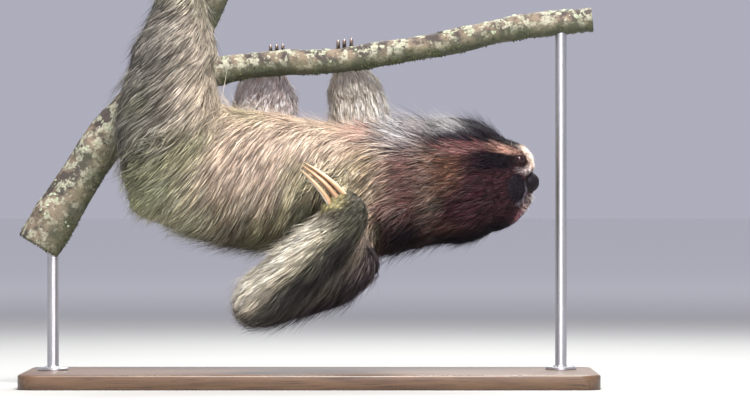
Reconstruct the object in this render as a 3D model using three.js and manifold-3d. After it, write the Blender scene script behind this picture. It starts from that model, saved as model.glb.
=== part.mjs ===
// A brown-throated three-toed sloth at life size, hanging belly up under a forked perch, on a plain
// display stand. Millimetres. +Z is up, the head points along +X and the left side of the body faces
// -Y. The origin is the centre of the base's underside. The belly is up but the neck is turned half
// round, so the crown of the head is up as well. The coat is part of each solid, out to the hair tips.
import * as THREE from 'three';
import { mergeVertices } from 'three/addons/utils/BufferGeometryUtils.js';
import Module from 'manifold-3d';

const wasm = await Module();
wasm.setup();

// ---- driving dimensions: display stand ----

const baseLength = 690;
const baseDepth = 300;
const baseThickness = 18;
const baseCorner = 24;
const rodRadius = 7;
const flangeRadius = 19;
const flangeThickness = 4;
const bodyPlaneY = -42;             // the body's own mid-plane, measured from the middle of the base
const leftRodTop = new THREE.Vector3(-312, 57, 178);
const rightRodTop = new THREE.Vector3(304, 80, 430);

// ---- driving dimensions: perch ----

const stemRadiusLow = 28;
const stemRadiusHigh = 22;
const branchRadius = 16;
const forkFlare = 0.22;             // how much thicker the branch is where it leaves the stem

// ---- driving dimensions: claws, eyes and nose ----

const freeClaw = { width: 8.4, depth: 11 };         // the left hand's, which lie against each other
const handClaw = { width: 6.8, depth: 11 };
const footClaw = { width: 6.4, depth: 9.5 };
const eyeRadius = 6.6;

// ---- driving dimensions: how parts meet ----

const partGap = 0.3;                // clearance between pieces that are set in each other
const gripGap = 0.4;                // clearance between skin and bark
const seam = 0.2;                   // half of the thin cut between two parts of the body
const blend = 16;                   // size of the fillet where one part grows out of another

// ---- driving dimensions: the body, limb by limb ----

const v3 = (x, y, z) => new THREE.Vector3(x, y, z);

// One station of a stretch of body: its centre, its half-width in the side view and its half-depth.
const station = (x, y, z, tall, deep) => ({ centre: v3(x, y, z), tall, deep });

const trunkRun = [
  station(-164, 0, 265, 64, 64),
  station(-120, 0, 257, 82, 78),
  station(-66, 0, 249, 85, 83),
  station(-12, 0, 244, 80, 81),
  station(42, 0, 237, 77, 78),
  station(94, 0, 236, 71, 71),
];
const neckRun = [station(94, 0, 236, 71, 66), station(132, 0, 243, 78, 63), station(162, 0, 246, 74, 60)];
const tailRun = [station(-172, 0, 240, 28, 26), station(-192, 0, 221, 15, 17)];

const leftThighRun = [
  station(-169, -38, 292, 62, 48),
  station(-166, -42, 344, 59, 46),
  station(-160, -40, 386, 55, 41),
];
const leftShankRun = [
  station(-158, -36, 396, 52, 38),
  station(-156, -26, 420, 44, 34),
  station(-154, -10, 458, 33, 29),
  station(-144, 10, 498, 22, 22),
];
const leftFootRun = [
  station(-142, 10, 502, 22, 21),
  station(-120, 24, 524, 19, 18),
  station(-98, 32, 534, 15, 13),
];

const rightThighRun = [
  station(-146, 40, 285, 50, 46),
  station(-117, 88, 267, 44, 42),
  station(-76, 131, 251, 38, 36),
];
const rightShankRun = [
  station(-70, 133, 256, 38, 35),
  station(-60, 132, 304, 45, 35),
  station(-56, 127, 338, 44, 31),
];
const rightFootRun = [
  station(-57, 125, 344, 41, 27),
  station(-56, 116, 366, 33, 19),
  station(-44, 108, 384, 20, 12),
];

const leftUpperArmRun = [
  station(90, -46, 186, 42, 40),
  station(22, -60, 140, 47, 36),
  station(-50, -72, 106, 33, 33),
];
const leftForearmRun = [
  station(-64, -90, 102, 31, 29),
  station(-13, -101, 150, 30, 27),
  station(40, -108, 198, 29, 24),
];
const leftHandRun = [
  station(43, -109, 202, 28, 22),
  station(50, -115, 214, 22, 17),
  station(39, -119, 222, 18, 14),
];

const rightUpperArmRun = [
  station(91, 48, 216, 42, 42),
  station(78, 112, 236, 36, 36),
  station(66, 174, 250, 37, 33),
];
const rightForearmRun = [
  station(64, 176, 256, 39, 34),
  station(60, 155, 300, 46, 35),
  station(57, 122, 348, 38, 30),
];
const rightHandRun = [
  station(53, 120, 354, 33, 24),
  station(47, 112, 374, 24, 16),
  station(41, 109, 387, 16, 12),
];

// ---- driving dimensions: the head, blunt and round in its ruff, with a flat face and short muzzle ----

const skull = { centre: v3(190, 0, 245), radii: v3(62, 59, 71) };
const face = { centre: v3(225, 0, 246), radii: v3(39, 40, 56) };
const brow = { centre: v3(244, 0, 268.5), radii: v3(23.5, 32, 24.5) };
const muzzle = { centre: v3(250, 0, 241), radii: v3(22, 18, 27) };
const chin = { centre: v3(236, 0, 218), radii: v3(20, 18, 16) };
const nosePad = { centre: v3(260.6, 0, 245.5), radii: v3(14.5, 16.8, 12.8) };
const eyeCentre = v3(250.2, 27.6, 272.4);

// ---- driving dimensions: the courses of the perch, from its cut ends ----

const stemCourse = [
  v3(-330, 56, 169), v3(-251, 64, 294), v3(-186, 72, 370), v3(-135, 76, 446),
  v3(-108, 74, 504), v3(-91, 68, 550), v3(-82, 64, 588),
];
const branchCourse = [
  v3(-176, 74, 372), v3(-135, 76, 377), v3(-86, 80, 386), v3(-44, 80, 391), v3(23, 80, 393),
  v3(90, 80, 403), v3(153, 80, 413), v3(251, 80, 434), v3(342, 80, 444),
];

// ---- signed distances ----

// About how far a point is outside an oval of half-axes r, given in the oval's own axes.
function ovalDistance(p, r) {
  const k0 = Math.hypot(p.x / r.x, p.y / r.y, p.z / r.z);
  const k1 = Math.hypot(p.x / r.x ** 2, p.y / r.y ** 2, p.z / r.z ** 2);
  return k1 < 1e-9 ? -Math.min(r.x, r.y, r.z) : (k0 * (k0 - 1)) / k1;
}

function smoothMin(a, b, k) {
  const h = Math.max(k - Math.abs(a - b), 0) / k;
  return Math.min(a, b) - (h * h * k) / 4;
}

const egg = ({ centre, radii }) => (p) => ovalDistance(p.clone().sub(centre), radii);

// A stretch of body: an oval section swept along its stations and rounded at both ends. The oval's
// depth lies as near to Y as the stretch allows.
function stretch(run) {
  const lengths = run.slice(1).map((end, i) => {
    const start = run[i];
    const along = end.centre.clone().sub(start.centre);
    const length = along.length();
    along.divideScalar(length);
    const depthward = Math.abs(along.y) > 0.9 ? v3(1, 0, 0) : v3(0, 1, 0);
    const tallward = along.clone().cross(depthward).normalize();
    return { start, end, along, length, tallward, deepward: tallward.clone().cross(along) };
  });
  return (p) => lengths.reduce((nearest, s) => {
    const q = p.clone().sub(s.start.centre);
    const t = THREE.MathUtils.clamp(q.dot(s.along) / s.length, 0, 1);
    q.addScaledVector(s.along, -t * s.length);
    const tall = THREE.MathUtils.lerp(s.start.tall, s.end.tall, t);
    const deep = THREE.MathUtils.lerp(s.start.deep, s.end.deep, t);
    const local = v3(q.dot(s.along), q.dot(s.deepward), q.dot(s.tallward));
    return smoothMin(nearest, ovalDistance(local, v3(Math.min(tall, deep), deep, tall)), 5);
  }, 1e3);
}

// The head: skull, face and brow run into one dome, with the muzzle and the chin growing out of it.
function headShape() {
  const eggs = [skull, face, brow, muzzle, chin].map(egg);
  const fillets = [0, 14, 9, 9, 10];
  return (p) => eggs.reduce((d, shape, i) => (i ? smoothMin(d, shape(p), fillets[i]) : shape(p)), 0);
}

// ---- from a distance function to a closed mesh ----

const CELL_CORNERS = [0, 1, 2, 3, 4, 5, 6, 7].map((c) => v3(c & 1, (c >> 1) & 1, c >> 2));
const CELL_EDGES = [1, 2, 4].flatMap((step) => (
  [0, 1, 2, 3, 4, 5, 6, 7].filter((c) => !(c & step)).map((c) => [c, c + step])
));

// A point moved onto the surface down the slope of its distance, by at most a third of a cell.
function ontoSurface(start, distance, cell) {
  const p = start.clone();
  const e = 0.5;
  for (let round = 0; round < 2; round++) {
    const d = distance(p);
    const slope = v3(
      distance(v3(p.x + e, p.y, p.z)) - d,
      distance(v3(p.x, p.y + e, p.z)) - d,
      distance(v3(p.x, p.y, p.z + e)) - d,
    ).divideScalar(e);
    const step = -d / Math.max(slope.lengthSq(), 0.2);
    p.addScaledVector(slope, THREE.MathUtils.clamp(step, -cell / 5, cell / 5));
  }
  return p.sub(start).clampLength(0, cell / 3).add(start);
}

// Surface nets over a grid: one vertex in each cell that the surface crosses, and two triangles across
// each grid edge that it crosses.
function surfaceOf(distance, box, cell) {
  const origin = box.min;
  const [nx, ny, nz] = box.getSize(v3(0, 0, 0)).divideScalar(cell).ceil().toArray();
  const at = (i, j, k) => i + (nx + 1) * (j + (ny + 1) * k);
  const point = (i, j, k) => v3(i, j, k).multiplyScalar(cell).add(origin);
  const value = new Float64Array((nx + 1) * (ny + 1) * (nz + 1));
  const everyCell = (from, [toX, toY, toZ], visit) => {
    for (let k = from; k < toZ; k++) {
      for (let j = from; j < toY; j++) {
        for (let i = from; i < toX; i++) visit(i, j, k);
      }
    }
  };
  everyCell(0, [nx + 1, ny + 1, nz + 1], (i, j, k) => {
    value[at(i, j, k)] = distance(point(i, j, k));
  });

  const vertexIn = new Map();
  const positions = [];
  everyCell(0, [nx, ny, nz], (i, j, k) => {
    const v = CELL_CORNERS.map((c) => value[at(i + c.x, j + c.y, k + c.z)]);
    const crossed = CELL_EDGES.filter(([a, b]) => v[a] < 0 !== v[b] < 0);
    if (!crossed.length) return;
    const middle = v3(0, 0, 0);
    for (const [a, b] of crossed) {
      middle.add(CELL_CORNERS[a].clone().lerp(CELL_CORNERS[b], v[a] / (v[a] - v[b])));
    }
    middle.divideScalar(crossed.length).multiplyScalar(cell).add(point(i, j, k));
    vertexIn.set(at(i, j, k), positions.length / 3);
    positions.push(...ontoSurface(middle, distance, cell).toArray());
  });

  const index = [];
  const quad = (cells, inward) => {
    const [a, b, c, d] = cells.map((key) => vertexIn.get(key));
    index.push(...(inward ? [a, c, b, a, d, c] : [a, b, c, a, c, d]));
  };
  everyCell(1, [nx, ny, nz], (i, j, k) => {
    const inside = value[at(i, j, k)] < 0;
    if (inside !== value[at(i + 1, j, k)] < 0) {
      quad([at(i, j - 1, k - 1), at(i, j, k - 1), at(i, j, k), at(i, j - 1, k)], !inside);
    }
    if (inside !== value[at(i, j + 1, k)] < 0) {
      quad([at(i - 1, j, k - 1), at(i - 1, j, k), at(i, j, k), at(i, j, k - 1)], !inside);
    }
    if (inside !== value[at(i, j, k + 1)] < 0) {
      quad([at(i - 1, j - 1, k), at(i, j - 1, k), at(i, j, k), at(i - 1, j, k)], !inside);
    }
  });
  const geometry = new THREE.BufferGeometry();
  geometry.setAttribute('position', new THREE.Float32BufferAttribute(positions, 3));
  geometry.setIndex(index);
  return geometry;
}

// ---- joins and cuts ----

function solidOf(geometry) {
  const bare = new THREE.BufferGeometry();
  bare.setAttribute('position', geometry.getAttribute('position'));
  bare.setIndex(geometry.index);
  const merged = mergeVertices(bare, 1e-4);
  return new wasm.Manifold(new wasm.Mesh({
    numProp: 3,
    vertProperties: merged.getAttribute('position').array,
    triVerts: new Uint32Array(merged.index.array),
  }));
}

function geometryOf(solid) {
  const { vertProperties, triVerts } = solid.getMesh();
  const geometry = new THREE.BufferGeometry();
  geometry.setAttribute('position', new THREE.BufferAttribute(new Float32Array(vertProperties), 3));
  geometry.setIndex(new THREE.BufferAttribute(new Uint32Array(triVerts), 1));
  return geometry.toNonIndexed();
}

const minus = (solid, cutters) => cutters.reduce((left, cutter) => left.subtract(cutter), solid);

// The joint where a part leaves its parent: a square block whose near face is the cut between them,
// with the whole of the part inside it.
const joint = (x, y, z, outward, half, reach) => ({
  centre: v3(x, y, z), outward: v3(...outward).normalize(), half, reach,
});

function blockAt({ centre, outward, half, reach }, grow) {
  const block = new THREE.BoxGeometry(2 * (half + grow), 2 * (half + grow), reach + 2 * grow);
  block.applyQuaternion(new THREE.Quaternion().setFromUnitVectors(v3(0, 0, 1), outward));
  block.translate(...centre.clone().addScaledVector(outward, reach / 2).toArray());
  return solidOf(block);
}

// ---- the body, whole, and the thin cuts that part it ----

// Each part's stations, the grid cell it is surfaced with, its parent and the joint between them.
const bodyParts = {
  trunk: { run: trunkRun, cell: 23 },
  neck: { run: neckRun, cell: 21, parent: 'trunk', joint: joint(112, 0, 238, [1, 0, 0.03], 110, 220) },
  head: { run: null, cell: 13.4, parent: 'neck', joint: joint(158, 0, 243, [1, 0, 0.03], 110, 220) },
  tail: { run: tailRun, cell: 12, parent: 'trunk', joint: joint(-184, 0, 228, [-0.7, 0, -0.7], 30, 60) },
  left_thigh: {
    run: leftThighRun, cell: 19, parent: 'trunk', joint: joint(-172, -30, 312, [-0.36, -0.39, 0.85], 80, 300),
  },
  left_shank: {
    run: leftShankRun, cell: 17, parent: 'left_thigh', joint: joint(-159, -38, 392, [0.03, 0.1, 1], 80, 200),
  },
  left_foot: {
    run: leftFootRun, cell: 13, parent: 'left_shank', joint: joint(-143, 10, 500, [0.42, 0.3, 0.85], 40, 90),
  },
  right_thigh: {
    run: rightThighRun, cell: 18, parent: 'trunk', joint: joint(-120, 70, 272, [0.15, 0.98, -0.1], 56, 120),
  },
  right_shank: {
    run: rightShankRun, cell: 18, parent: 'right_thigh', joint: joint(-74, 120, 258, [0.1, 0.1, 1], 60, 160),
  },
  right_foot: {
    run: rightFootRun, cell: 15, parent: 'right_shank', joint: joint(-56, 119, 349, [0.2, -0.2, 1], 50, 80),
  },
  left_upper_arm: {
    run: leftUpperArmRun,
    cell: 20,
    parent: 'trunk',
    joint: joint(60, -52, 174, [-0.66, -0.5, -0.56], 62, 190),
  },
  left_forearm: {
    run: leftForearmRun,
    cell: 17,
    parent: 'left_upper_arm',
    joint: joint(-60, -82, 106, [-0.25, -0.86, 0.45], 170, 140),
  },
  left_hand: {
    run: leftHandRun,
    cell: 13,
    parent: 'left_forearm',
    joint: joint(44, -110, 204, [0.45, -0.2, 0.87], 36, 60),
  },
  right_upper_arm: {
    run: rightUpperArmRun, cell: 20, parent: 'trunk', joint: joint(86, 76, 224, [-0.1, 0.97, 0.18], 56, 150),
  },
  right_forearm: {
    run: rightForearmRun,
    cell: 18,
    parent: 'right_upper_arm',
    joint: joint(66, 176, 258, [-0.1, -0.2, 1], 60, 160),
  },
  right_hand: {
    run: rightHandRun,
    cell: 13,
    parent: 'right_forearm',
    joint: joint(51, 118, 357, [-0.25, -0.2, 1], 40, 80),
  },
};
const partNames = Object.keys(bodyParts);
const shapes = Object.fromEntries(partNames.map((name) => {
  const { run } = bodyParts[name];
  return [name, run ? stretch(run) : headShape()];
}));

// The box that holds one part, with room round it.
function boxOf(name, room) {
  const points = bodyParts[name].run ?? [skull, muzzle].flatMap(({ centre, radii }) => [
    station(...centre.clone().add(radii).toArray(), 0, 0),
    station(...centre.clone().sub(radii).toArray(), 0, 0),
  ]);
  const widest = Math.max(...points.flatMap((s) => [s.tall, s.deep]));
  return new THREE.Box3().setFromPoints(points.map((s) => s.centre)).expandByScalar(widest + room);
}

// One part of the body: its own shape run into its parent's and its children's, then parted from them.
function bodyPart(name) {
  const { cell, parent } = bodyParts[name];
  const children = partNames.filter((other) => bodyParts[other].parent === name);
  const around = (parent ? [parent, ...children] : children).map((other) => shapes[other]);
  const overrun = 14;
  const distance = (p) => {
    const own = shapes[name](p);
    const whole = around.reduce((d, shape) => smoothMin(d, shape(p), blend), own);
    return Math.max(whole, own - overrun);
  };
  const whole = solidOf(surfaceOf(distance, boxOf(name, overrun + 2 * cell), cell));
  const own = parent ? whole.intersect(blockAt(bodyParts[name].joint, -seam)) : whole;
  return minus(own, children.map((child) => blockAt(bodyParts[child].joint, seam)));
}

// ---- tubes: perch, claws ----

const curveThrough = (points) => new THREE.CatmullRomCurve3(points, false, 'centripetal');

// A closed tube of oval rings along a curve, with flat ends. The section's width lies along the sideways
// direction and its depth square to that; both are functions of how far along the curve it is.
function ovalTube(curve, widthAt, depthAt, sideways, rings, sides) {
  const positions = [];
  const index = [];
  for (let r = 0; r <= rings; r++) {
    const t = r / rings;
    const along = curve.getTangentAt(t);
    const across = sideways.clone().addScaledVector(along, -sideways.dot(along)).normalize();
    const square = across.clone().cross(along);
    for (let s = 0; s < sides; s++) {
      const angle = (2 * Math.PI * s) / sides;
      const p = curve.getPointAt(t)
        .addScaledVector(across, (Math.cos(angle) * widthAt(t)) / 2)
        .addScaledVector(square, (Math.sin(angle) * depthAt(t)) / 2);
      positions.push(p.x, p.y, p.z);
    }
  }
  for (let r = 0; r < rings; r++) {
    for (let s = 0; s < sides; s++) {
      const [a, b] = [r * sides + s, r * sides + ((s + 1) % sides)];
      index.push(a, a + sides, b, b, a + sides, b + sides);
    }
  }
  const last = rings * sides;
  for (let s = 1; s < sides - 1; s++) {
    index.push(0, s, s + 1, last, last + s + 1, last + s);
  }
  const geometry = new THREE.BufferGeometry();
  geometry.setAttribute('position', new THREE.Float32BufferAttribute(positions, 3));
  geometry.setIndex(index);
  return solidOf(geometry);
}

// The two lengths of the perch, thickened all round by the given clearance. Their girth wavers a little.
const stemCurve = curveThrough(stemCourse);
const branchCurve = curveThrough(branchCourse);

function stem(clearance) {
  const radius = (t) => THREE.MathUtils.lerp(stemRadiusLow, stemRadiusHigh, t) + Math.sin(23 * t);
  const width = (t) => 2 * (radius(t) + clearance);
  return ovalTube(stemCurve, width, width, v3(0, 1, 0), 10, 10);
}

function branch(clearance) {
  const radius = (t) => branchRadius * (1 + forkFlare * Math.exp(-9 * t)) + 0.6 * Math.sin(31 * t);
  const width = (t) => 2 * (radius(t) + clearance);
  return ovalTube(branchCurve, width, width, v3(0, 1, 0), 15, 9);
}

// A claw: a horn along a curve, full at the root and drawn out to a blunt point.
function claw({ curve, sideways, size: { width, depth } }, clearance) {
  const taper = (t) => 1 - 0.45 * t - 0.42 * t ** 3;
  const grown = (size) => (t) => size * taper(t) + 2 * clearance;
  return ovalTube(curve, grown(width), grown(depth), sideways, 5, 6);
}

// ---- where the claws lie ----

// The free left hand's claws lie side by side, pointing back along the belly, and bow a little outward.
function leftHandClaws() {
  const roots = [v3(48.3, -118, 222.7), v3(41.8, -120, 216.2), v3(33.6, -118, 207.6)];
  const tips = [v3(-6.1, -111, 269.1), v3(-8.7, -112, 266.2), v3(-10, -111, 260.8)];
  const bow = v3(2.2, -4.5, 2.2);
  return roots.map((root, i) => ({
    curve: curveThrough([root, root.clone().lerp(tips[i], 0.5).add(bow), tips[i]]),
    sideways: v3(0.66, 0.2, 0.72),
    size: freeClaw,
  }));
}

// The point of a curve where one of its coordinates, which only grows along it, has the given value.
function pointWhere(curve, axis, value) {
  let [low, high] = [0, 1];
  for (let halving = 0; halving < 30; halving++) {
    const middle = (low + high) / 2;
    if (curve.getPointAt(middle)[axis] < value) low = middle;
    else high = middle;
  }
  return curve.getPointAt(low);
}

// Where hooks go round: the perch's curve, the coordinate that places them along it, the direction each
// starts from, the one it turns towards and the one its width lies along.
const [acrossX, acrossY, upward] = [v3(1, 0, 0), v3(0, 1, 0), v3(0, 0, 1)];
const overBranch = {
  curve: branchCurve, axis: 'x', first: acrossY, second: upward, sideways: acrossX,
};
const roundStem = {
  curve: stemCurve, axis: 'z', first: acrossY.clone().negate(), second: acrossX, sideways: upward,
};

// Claws hooked round a perch, side by side along it: arcs about the perch's middle, in degrees, that
// tighten from root to tip.
function hookedClaws({ curve, axis, first, second, sideways }, places, size, { degrees, reach }) {
  const steps = 8;
  return places.map((place) => {
    const middle = pointWhere(curve, axis, place);
    const points = Array.from({ length: steps + 1 }, (_, i) => {
      const angle = THREE.MathUtils.degToRad(THREE.MathUtils.lerp(...degrees, i / steps));
      const radius = THREE.MathUtils.lerp(...reach, i / steps);
      return middle.clone()
        .addScaledVector(first, radius * Math.cos(angle))
        .addScaledVector(second, radius * Math.sin(angle));
    });
    return { curve: curveThrough(points), sideways, size };
  });
}

const clawSets = {
  left_hand: leftHandClaws(),
  right_hand: hookedClaws(overBranch, [33.2, 41, 48.8], handClaw, {
    degrees: [-28, 112], reach: [29, 20.5],
  }),
  left_foot: hookedClaws(roundStem, [524, 534, 544], footClaw, {
    degrees: [-20, 100], reach: [31, 27.5],
  }),
  right_foot: hookedClaws(overBranch, [-49, -41.5, -34], footClaw, {
    degrees: [-20, 112], reach: [22, 19.5],
  }),
};

// ---- eyes and nose ----

function ball(centre, radii, around, down) {
  const sphere = new THREE.SphereGeometry(1, around, down);
  sphere.scale(...radii.toArray());
  sphere.translate(...centre.toArray());
  return solidOf(sphere);
}

function eye(side, clearance) {
  const centre = v3(eyeCentre.x, side * eyeCentre.y, eyeCentre.z);
  return ball(centre, v3(1, 1, 1).multiplyScalar(eyeRadius + clearance), 8, 6);
}

const nose = (clearance) => ball(nosePad.centre, nosePad.radii.clone().addScalar(clearance), 9, 6);

// ---- stand ----

// A rod on a flange, from just above the base up into the perch.
function rod(top, clearance) {
  const foot = baseThickness + partGap;
  const [r, f] = [rodRadius + clearance, flangeRadius + clearance];
  const chamfer = 1.2;
  const profile = [
    [0, foot], [f, foot], [f, foot + flangeThickness - chamfer], [f - chamfer, foot + flangeThickness],
    [r, foot + flangeThickness], [r, top.z + clearance], [0, top.z + clearance],
  ].map(([radius, height]) => new THREE.Vector2(radius, height));
  const turned = new THREE.LatheGeometry(profile, 12);
  turned.rotateX(Math.PI / 2);
  turned.translate(top.x, top.y, 0);
  return solidOf(turned);
}

function basePlate() {
  const [x, y, r] = [baseLength / 2 - baseCorner, baseDepth / 2 - baseCorner, baseCorner];
  const outline = new THREE.Shape();
  outline.absarc(x, y, r, 0, 0.5 * Math.PI);
  outline.absarc(-x, y, r, 0.5 * Math.PI, Math.PI);
  outline.absarc(-x, -y, r, Math.PI, 1.5 * Math.PI);
  outline.absarc(x, -y, r, 1.5 * Math.PI, 2 * Math.PI);
  return new THREE.ExtrudeGeometry(outline, { depth: baseThickness, bevelEnabled: false, curveSegments: 4 });
}

// ---- the pieces fitted together ----

const solids = new Map(partNames.map((name) => [name, bodyPart(name)]));
const refit = (name, cutters) => solids.set(name, minus(solids.get(name), cutters));

for (const [limb, set] of Object.entries(clawSets)) {
  const sockets = set.map((place) => claw(place, partGap));
  refit(limb, sockets);
  refit(bodyParts[limb].parent, sockets);
  set.forEach((place, i) => solids.set(`${limb}_claw_${i + 1}`, claw(place, 0)));
}

const gripped = partNames.filter((name) => /thigh|shank|foot|forearm|hand/.test(name));
for (const name of gripped) refit(name, [stem(gripGap), branch(gripGap)]);
for (const name of solids.keys()) {
  if (/^(right_hand|right_foot|left_foot)_claw/.test(name)) refit(name, [stem(partGap), branch(partGap)]);
}

refit('head', [eye(1, partGap), eye(-1, partGap), nose(partGap)]);
solids.set('left_eye', eye(1, 0));
solids.set('right_eye', eye(-1, 0));
solids.set('nose', nose(0));

solids.set('perch_stem', stem(0).subtract(rod(leftRodTop, partGap)));
solids.set('perch_branch', minus(branch(0), [stem(partGap), rod(rightRodTop, partGap)]));
solids.set('stand_rod_left', rod(leftRodTop, 0));
solids.set('stand_rod_right', rod(rightRodTop, 0));

// ---- materials and assembly ----

// The first pattern that fits a node's name gives its look.
const looks = [
  [/claw/, { color: 0xc9b48c, roughness: 0.45, metalness: 0 }],
  [/eye/, { color: 0x120b0a, roughness: 0.1, metalness: 0 }],
  [/nose/, { color: 0x14100f, roughness: 0.35, metalness: 0 }],
  [/perch/, { color: 0x9d9787, roughness: 0.9, metalness: 0 }],
  [/rod/, { color: 0xa9abad, roughness: 0.35, metalness: 1 }],
  [/base/, { color: 0x3d2c20, roughness: 0.45, metalness: 0 }],
  [/head|neck/, { color: 0x6d5040, roughness: 0.95, metalness: 0 }],
  [/thigh|shank|tail/, { color: 0x857c68, roughness: 0.95, metalness: 0 }],
  [/./, { color: 0xa39682, roughness: 0.95, metalness: 0 }],
];

function meshOf(name, geometry) {
  const [, look] = looks.find(([pattern]) => pattern.test(name));
  const mesh = new THREE.Mesh(geometry, new THREE.MeshStandardMaterial(look));
  mesh.name = name;
  return mesh;
}

const model = new THREE.Group();
const held = new THREE.Group();
held.position.y = bodyPlaneY;
for (const [name, solid] of solids) held.add(meshOf(name, geometryOf(solid)));
model.add(held, meshOf('stand_base', basePlate()));

export default model;
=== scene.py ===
import math

import bmesh
import bpy
import numpy as np
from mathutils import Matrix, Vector
from mathutils.bvhtree import BVHTree
from mathutils.kdtree import KDTree


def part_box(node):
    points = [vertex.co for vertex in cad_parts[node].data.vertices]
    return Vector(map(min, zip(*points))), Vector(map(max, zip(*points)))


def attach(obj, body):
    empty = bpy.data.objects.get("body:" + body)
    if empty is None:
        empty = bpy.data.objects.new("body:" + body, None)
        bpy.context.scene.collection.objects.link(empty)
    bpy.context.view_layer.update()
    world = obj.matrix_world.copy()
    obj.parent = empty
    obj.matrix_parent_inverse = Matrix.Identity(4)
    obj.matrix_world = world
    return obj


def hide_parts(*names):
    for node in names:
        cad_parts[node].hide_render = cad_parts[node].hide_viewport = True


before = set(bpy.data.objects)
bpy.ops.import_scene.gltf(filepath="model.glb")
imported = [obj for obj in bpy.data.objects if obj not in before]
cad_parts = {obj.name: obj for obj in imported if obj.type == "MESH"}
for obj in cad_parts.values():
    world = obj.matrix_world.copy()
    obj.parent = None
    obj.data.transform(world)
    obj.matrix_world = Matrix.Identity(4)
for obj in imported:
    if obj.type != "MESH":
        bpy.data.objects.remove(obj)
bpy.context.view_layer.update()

# ---- Room ------------------------------------------------------------------------------------------
# A plain pale floor, darker under the model and wide enough to reach a level horizon from every side,
# a level camera six metres from the animal, and three soft studio lights: one overhead, one behind for
# the rim and one low for the fill.
BODY_PLANE = -0.042         # the animal's own mid-plane in the model's frame
CAMERA_OFF = 6.0            # from the mid-plane
CAMERA_AIM = 0.078, 0.2244  # across and up
SKY = (0.84, 0.84, 1, 1)

camera = bpy.data.objects.new("camera", bpy.data.cameras.new("camera"))
camera.data.lens = 240
camera.data.sensor_width = 36
camera.data.clip_end = 60
camera.location = (CAMERA_AIM[0], BODY_PLANE - CAMERA_OFF, CAMERA_AIM[1])
camera.rotation_euler = (math.pi / 2, 0, 0)
bpy.context.scene.collection.objects.link(camera)
bpy.context.scene.camera = camera

world = bpy.data.worlds.new("studio")
world.use_nodes = True
world.node_tree.nodes["Background"].inputs["Color"].default_value = SKY
world.node_tree.nodes["Background"].inputs["Strength"].default_value = 0.5
bpy.context.scene.world = world
bpy.context.scene.view_settings.view_transform = "Standard"


def soft_light(name, place, aim, side, watts, colour):
    """A square studio softbox of this side, in metres, turned to face its aim."""
    lamp = bpy.data.objects.new(name, bpy.data.lights.new(name, "AREA"))
    lamp.data.size = side
    lamp.data.energy = watts
    lamp.data.color = colour
    lamp.location = place
    lamp.rotation_euler = (Vector(aim) - Vector(place)).to_track_quat("-Z", "Y").to_euler()
    bpy.context.scene.collection.objects.link(lamp)


soft_light("overhead", (0.1, -1.5, 2.05), (0, 0, 0.25), 1.0, 150, (1, 0.97, 0.92))
soft_light("behind", (0.3, 1.4, 1.9), (0, 0, 0.3), 1.1, 75, (0.98, 1, 0.96))
soft_light("low_fill", (0.4, -2.8, 0.55), (0, 0, 0.35), 1.2, 26, (0.92, 0.88, 1))


class Value:
    """One output socket of a material's nodes. Arithmetic on it adds Math nodes."""

    def __init__(self, shader, socket):
        self.shader, self.socket = shader, socket

    def math(self, operation, *values):
        inputs = dict(enumerate(values))
        return self.shader.node("ShaderNodeMath", {"operation": operation}, inputs)

    def __add__(self, other):
        return self.math("ADD", self, other)

    def __sub__(self, other):
        return self.math("SUBTRACT", self, other)

    def __rsub__(self, other):
        return self.math("SUBTRACT", other, self)

    def __mul__(self, other):
        return self.math("MULTIPLY", self, other)

    __radd__, __rmul__ = __add__, __mul__

    def between(self, low, high):
        """0 below low, 1 above high and a smooth step between, for low under or over high."""
        settings = {"interpolation_type": "SMOOTHSTEP", "clamp": True}
        return self.shader.node("ShaderNodeMapRange", settings, {0: self, 1: low, 2: high})


class Shader:
    """A material with one Principled surface, built up by node()."""

    def __init__(self, name, **constants):
        self.material = bpy.data.materials.new(name)
        self.material.use_nodes = True
        self.nodes = self.material.node_tree.nodes
        self.surface = self.nodes["Principled BSDF"]
        for key, value in constants.items():
            self.surface.inputs[key.replace("_", " ")].default_value = value

    def node(self, kind, settings=(), inputs=(), output=0):
        made = self.nodes.new(kind)
        for key, value in dict(settings).items():
            if key == "stops":
                while len(made.color_ramp.elements) < len(value):
                    made.color_ramp.elements.new(0.5)
                for element, (place, colour) in zip(made.color_ramp.elements, value):
                    element.position, element.color = place, (*colour, 1)
            else:
                setattr(made, key, value)
        for key, value in dict(inputs).items():
            self.feed(made.inputs[key], value)
        return Value(self, made.outputs[output])

    def feed(self, socket, value):
        if isinstance(value, Value):
            self.material.node_tree.links.new(value.socket, socket)
        elif isinstance(value, tuple) and len(value) == 3 and socket.type == "RGBA":
            socket.default_value = (*value, 1)
        else:
            socket.default_value = value

    def set(self, name, value):
        self.feed(self.surface.inputs[name], value)

    def place(self, scale=(1, 1, 1), turn=(0, 0, 0)):
        """Object coordinates, turned and scaled."""
        at = self.node("ShaderNodeTexCoord", output="Object")
        return self.node("ShaderNodeMapping", (), {"Vector": at, "Scale": scale, "Rotation": turn})

    def noise(self, at, scale, detail=3.0, roughness=0.5):
        inputs = {"Vector": at, "Scale": scale, "Detail": detail, "Roughness": roughness}
        return self.node("ShaderNodeTexNoise", (), inputs, "Fac")

    def mix(self, one, other, share):
        return self.node("ShaderNodeMix", {"data_type": "RGBA"}, {0: share, 6: one, 7: other}, 2)

    def ramp(self, value, stops):
        return self.node("ShaderNodeValToRGB", {"stops": stops}, {"Fac": value}, "Color")

    def bump(self, height, distance, strength=1.0):
        inputs = {"Height": height, "Distance": distance, "Strength": strength}
        self.set("Normal", self.node("ShaderNodeBump", (), inputs, "Normal"))


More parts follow.
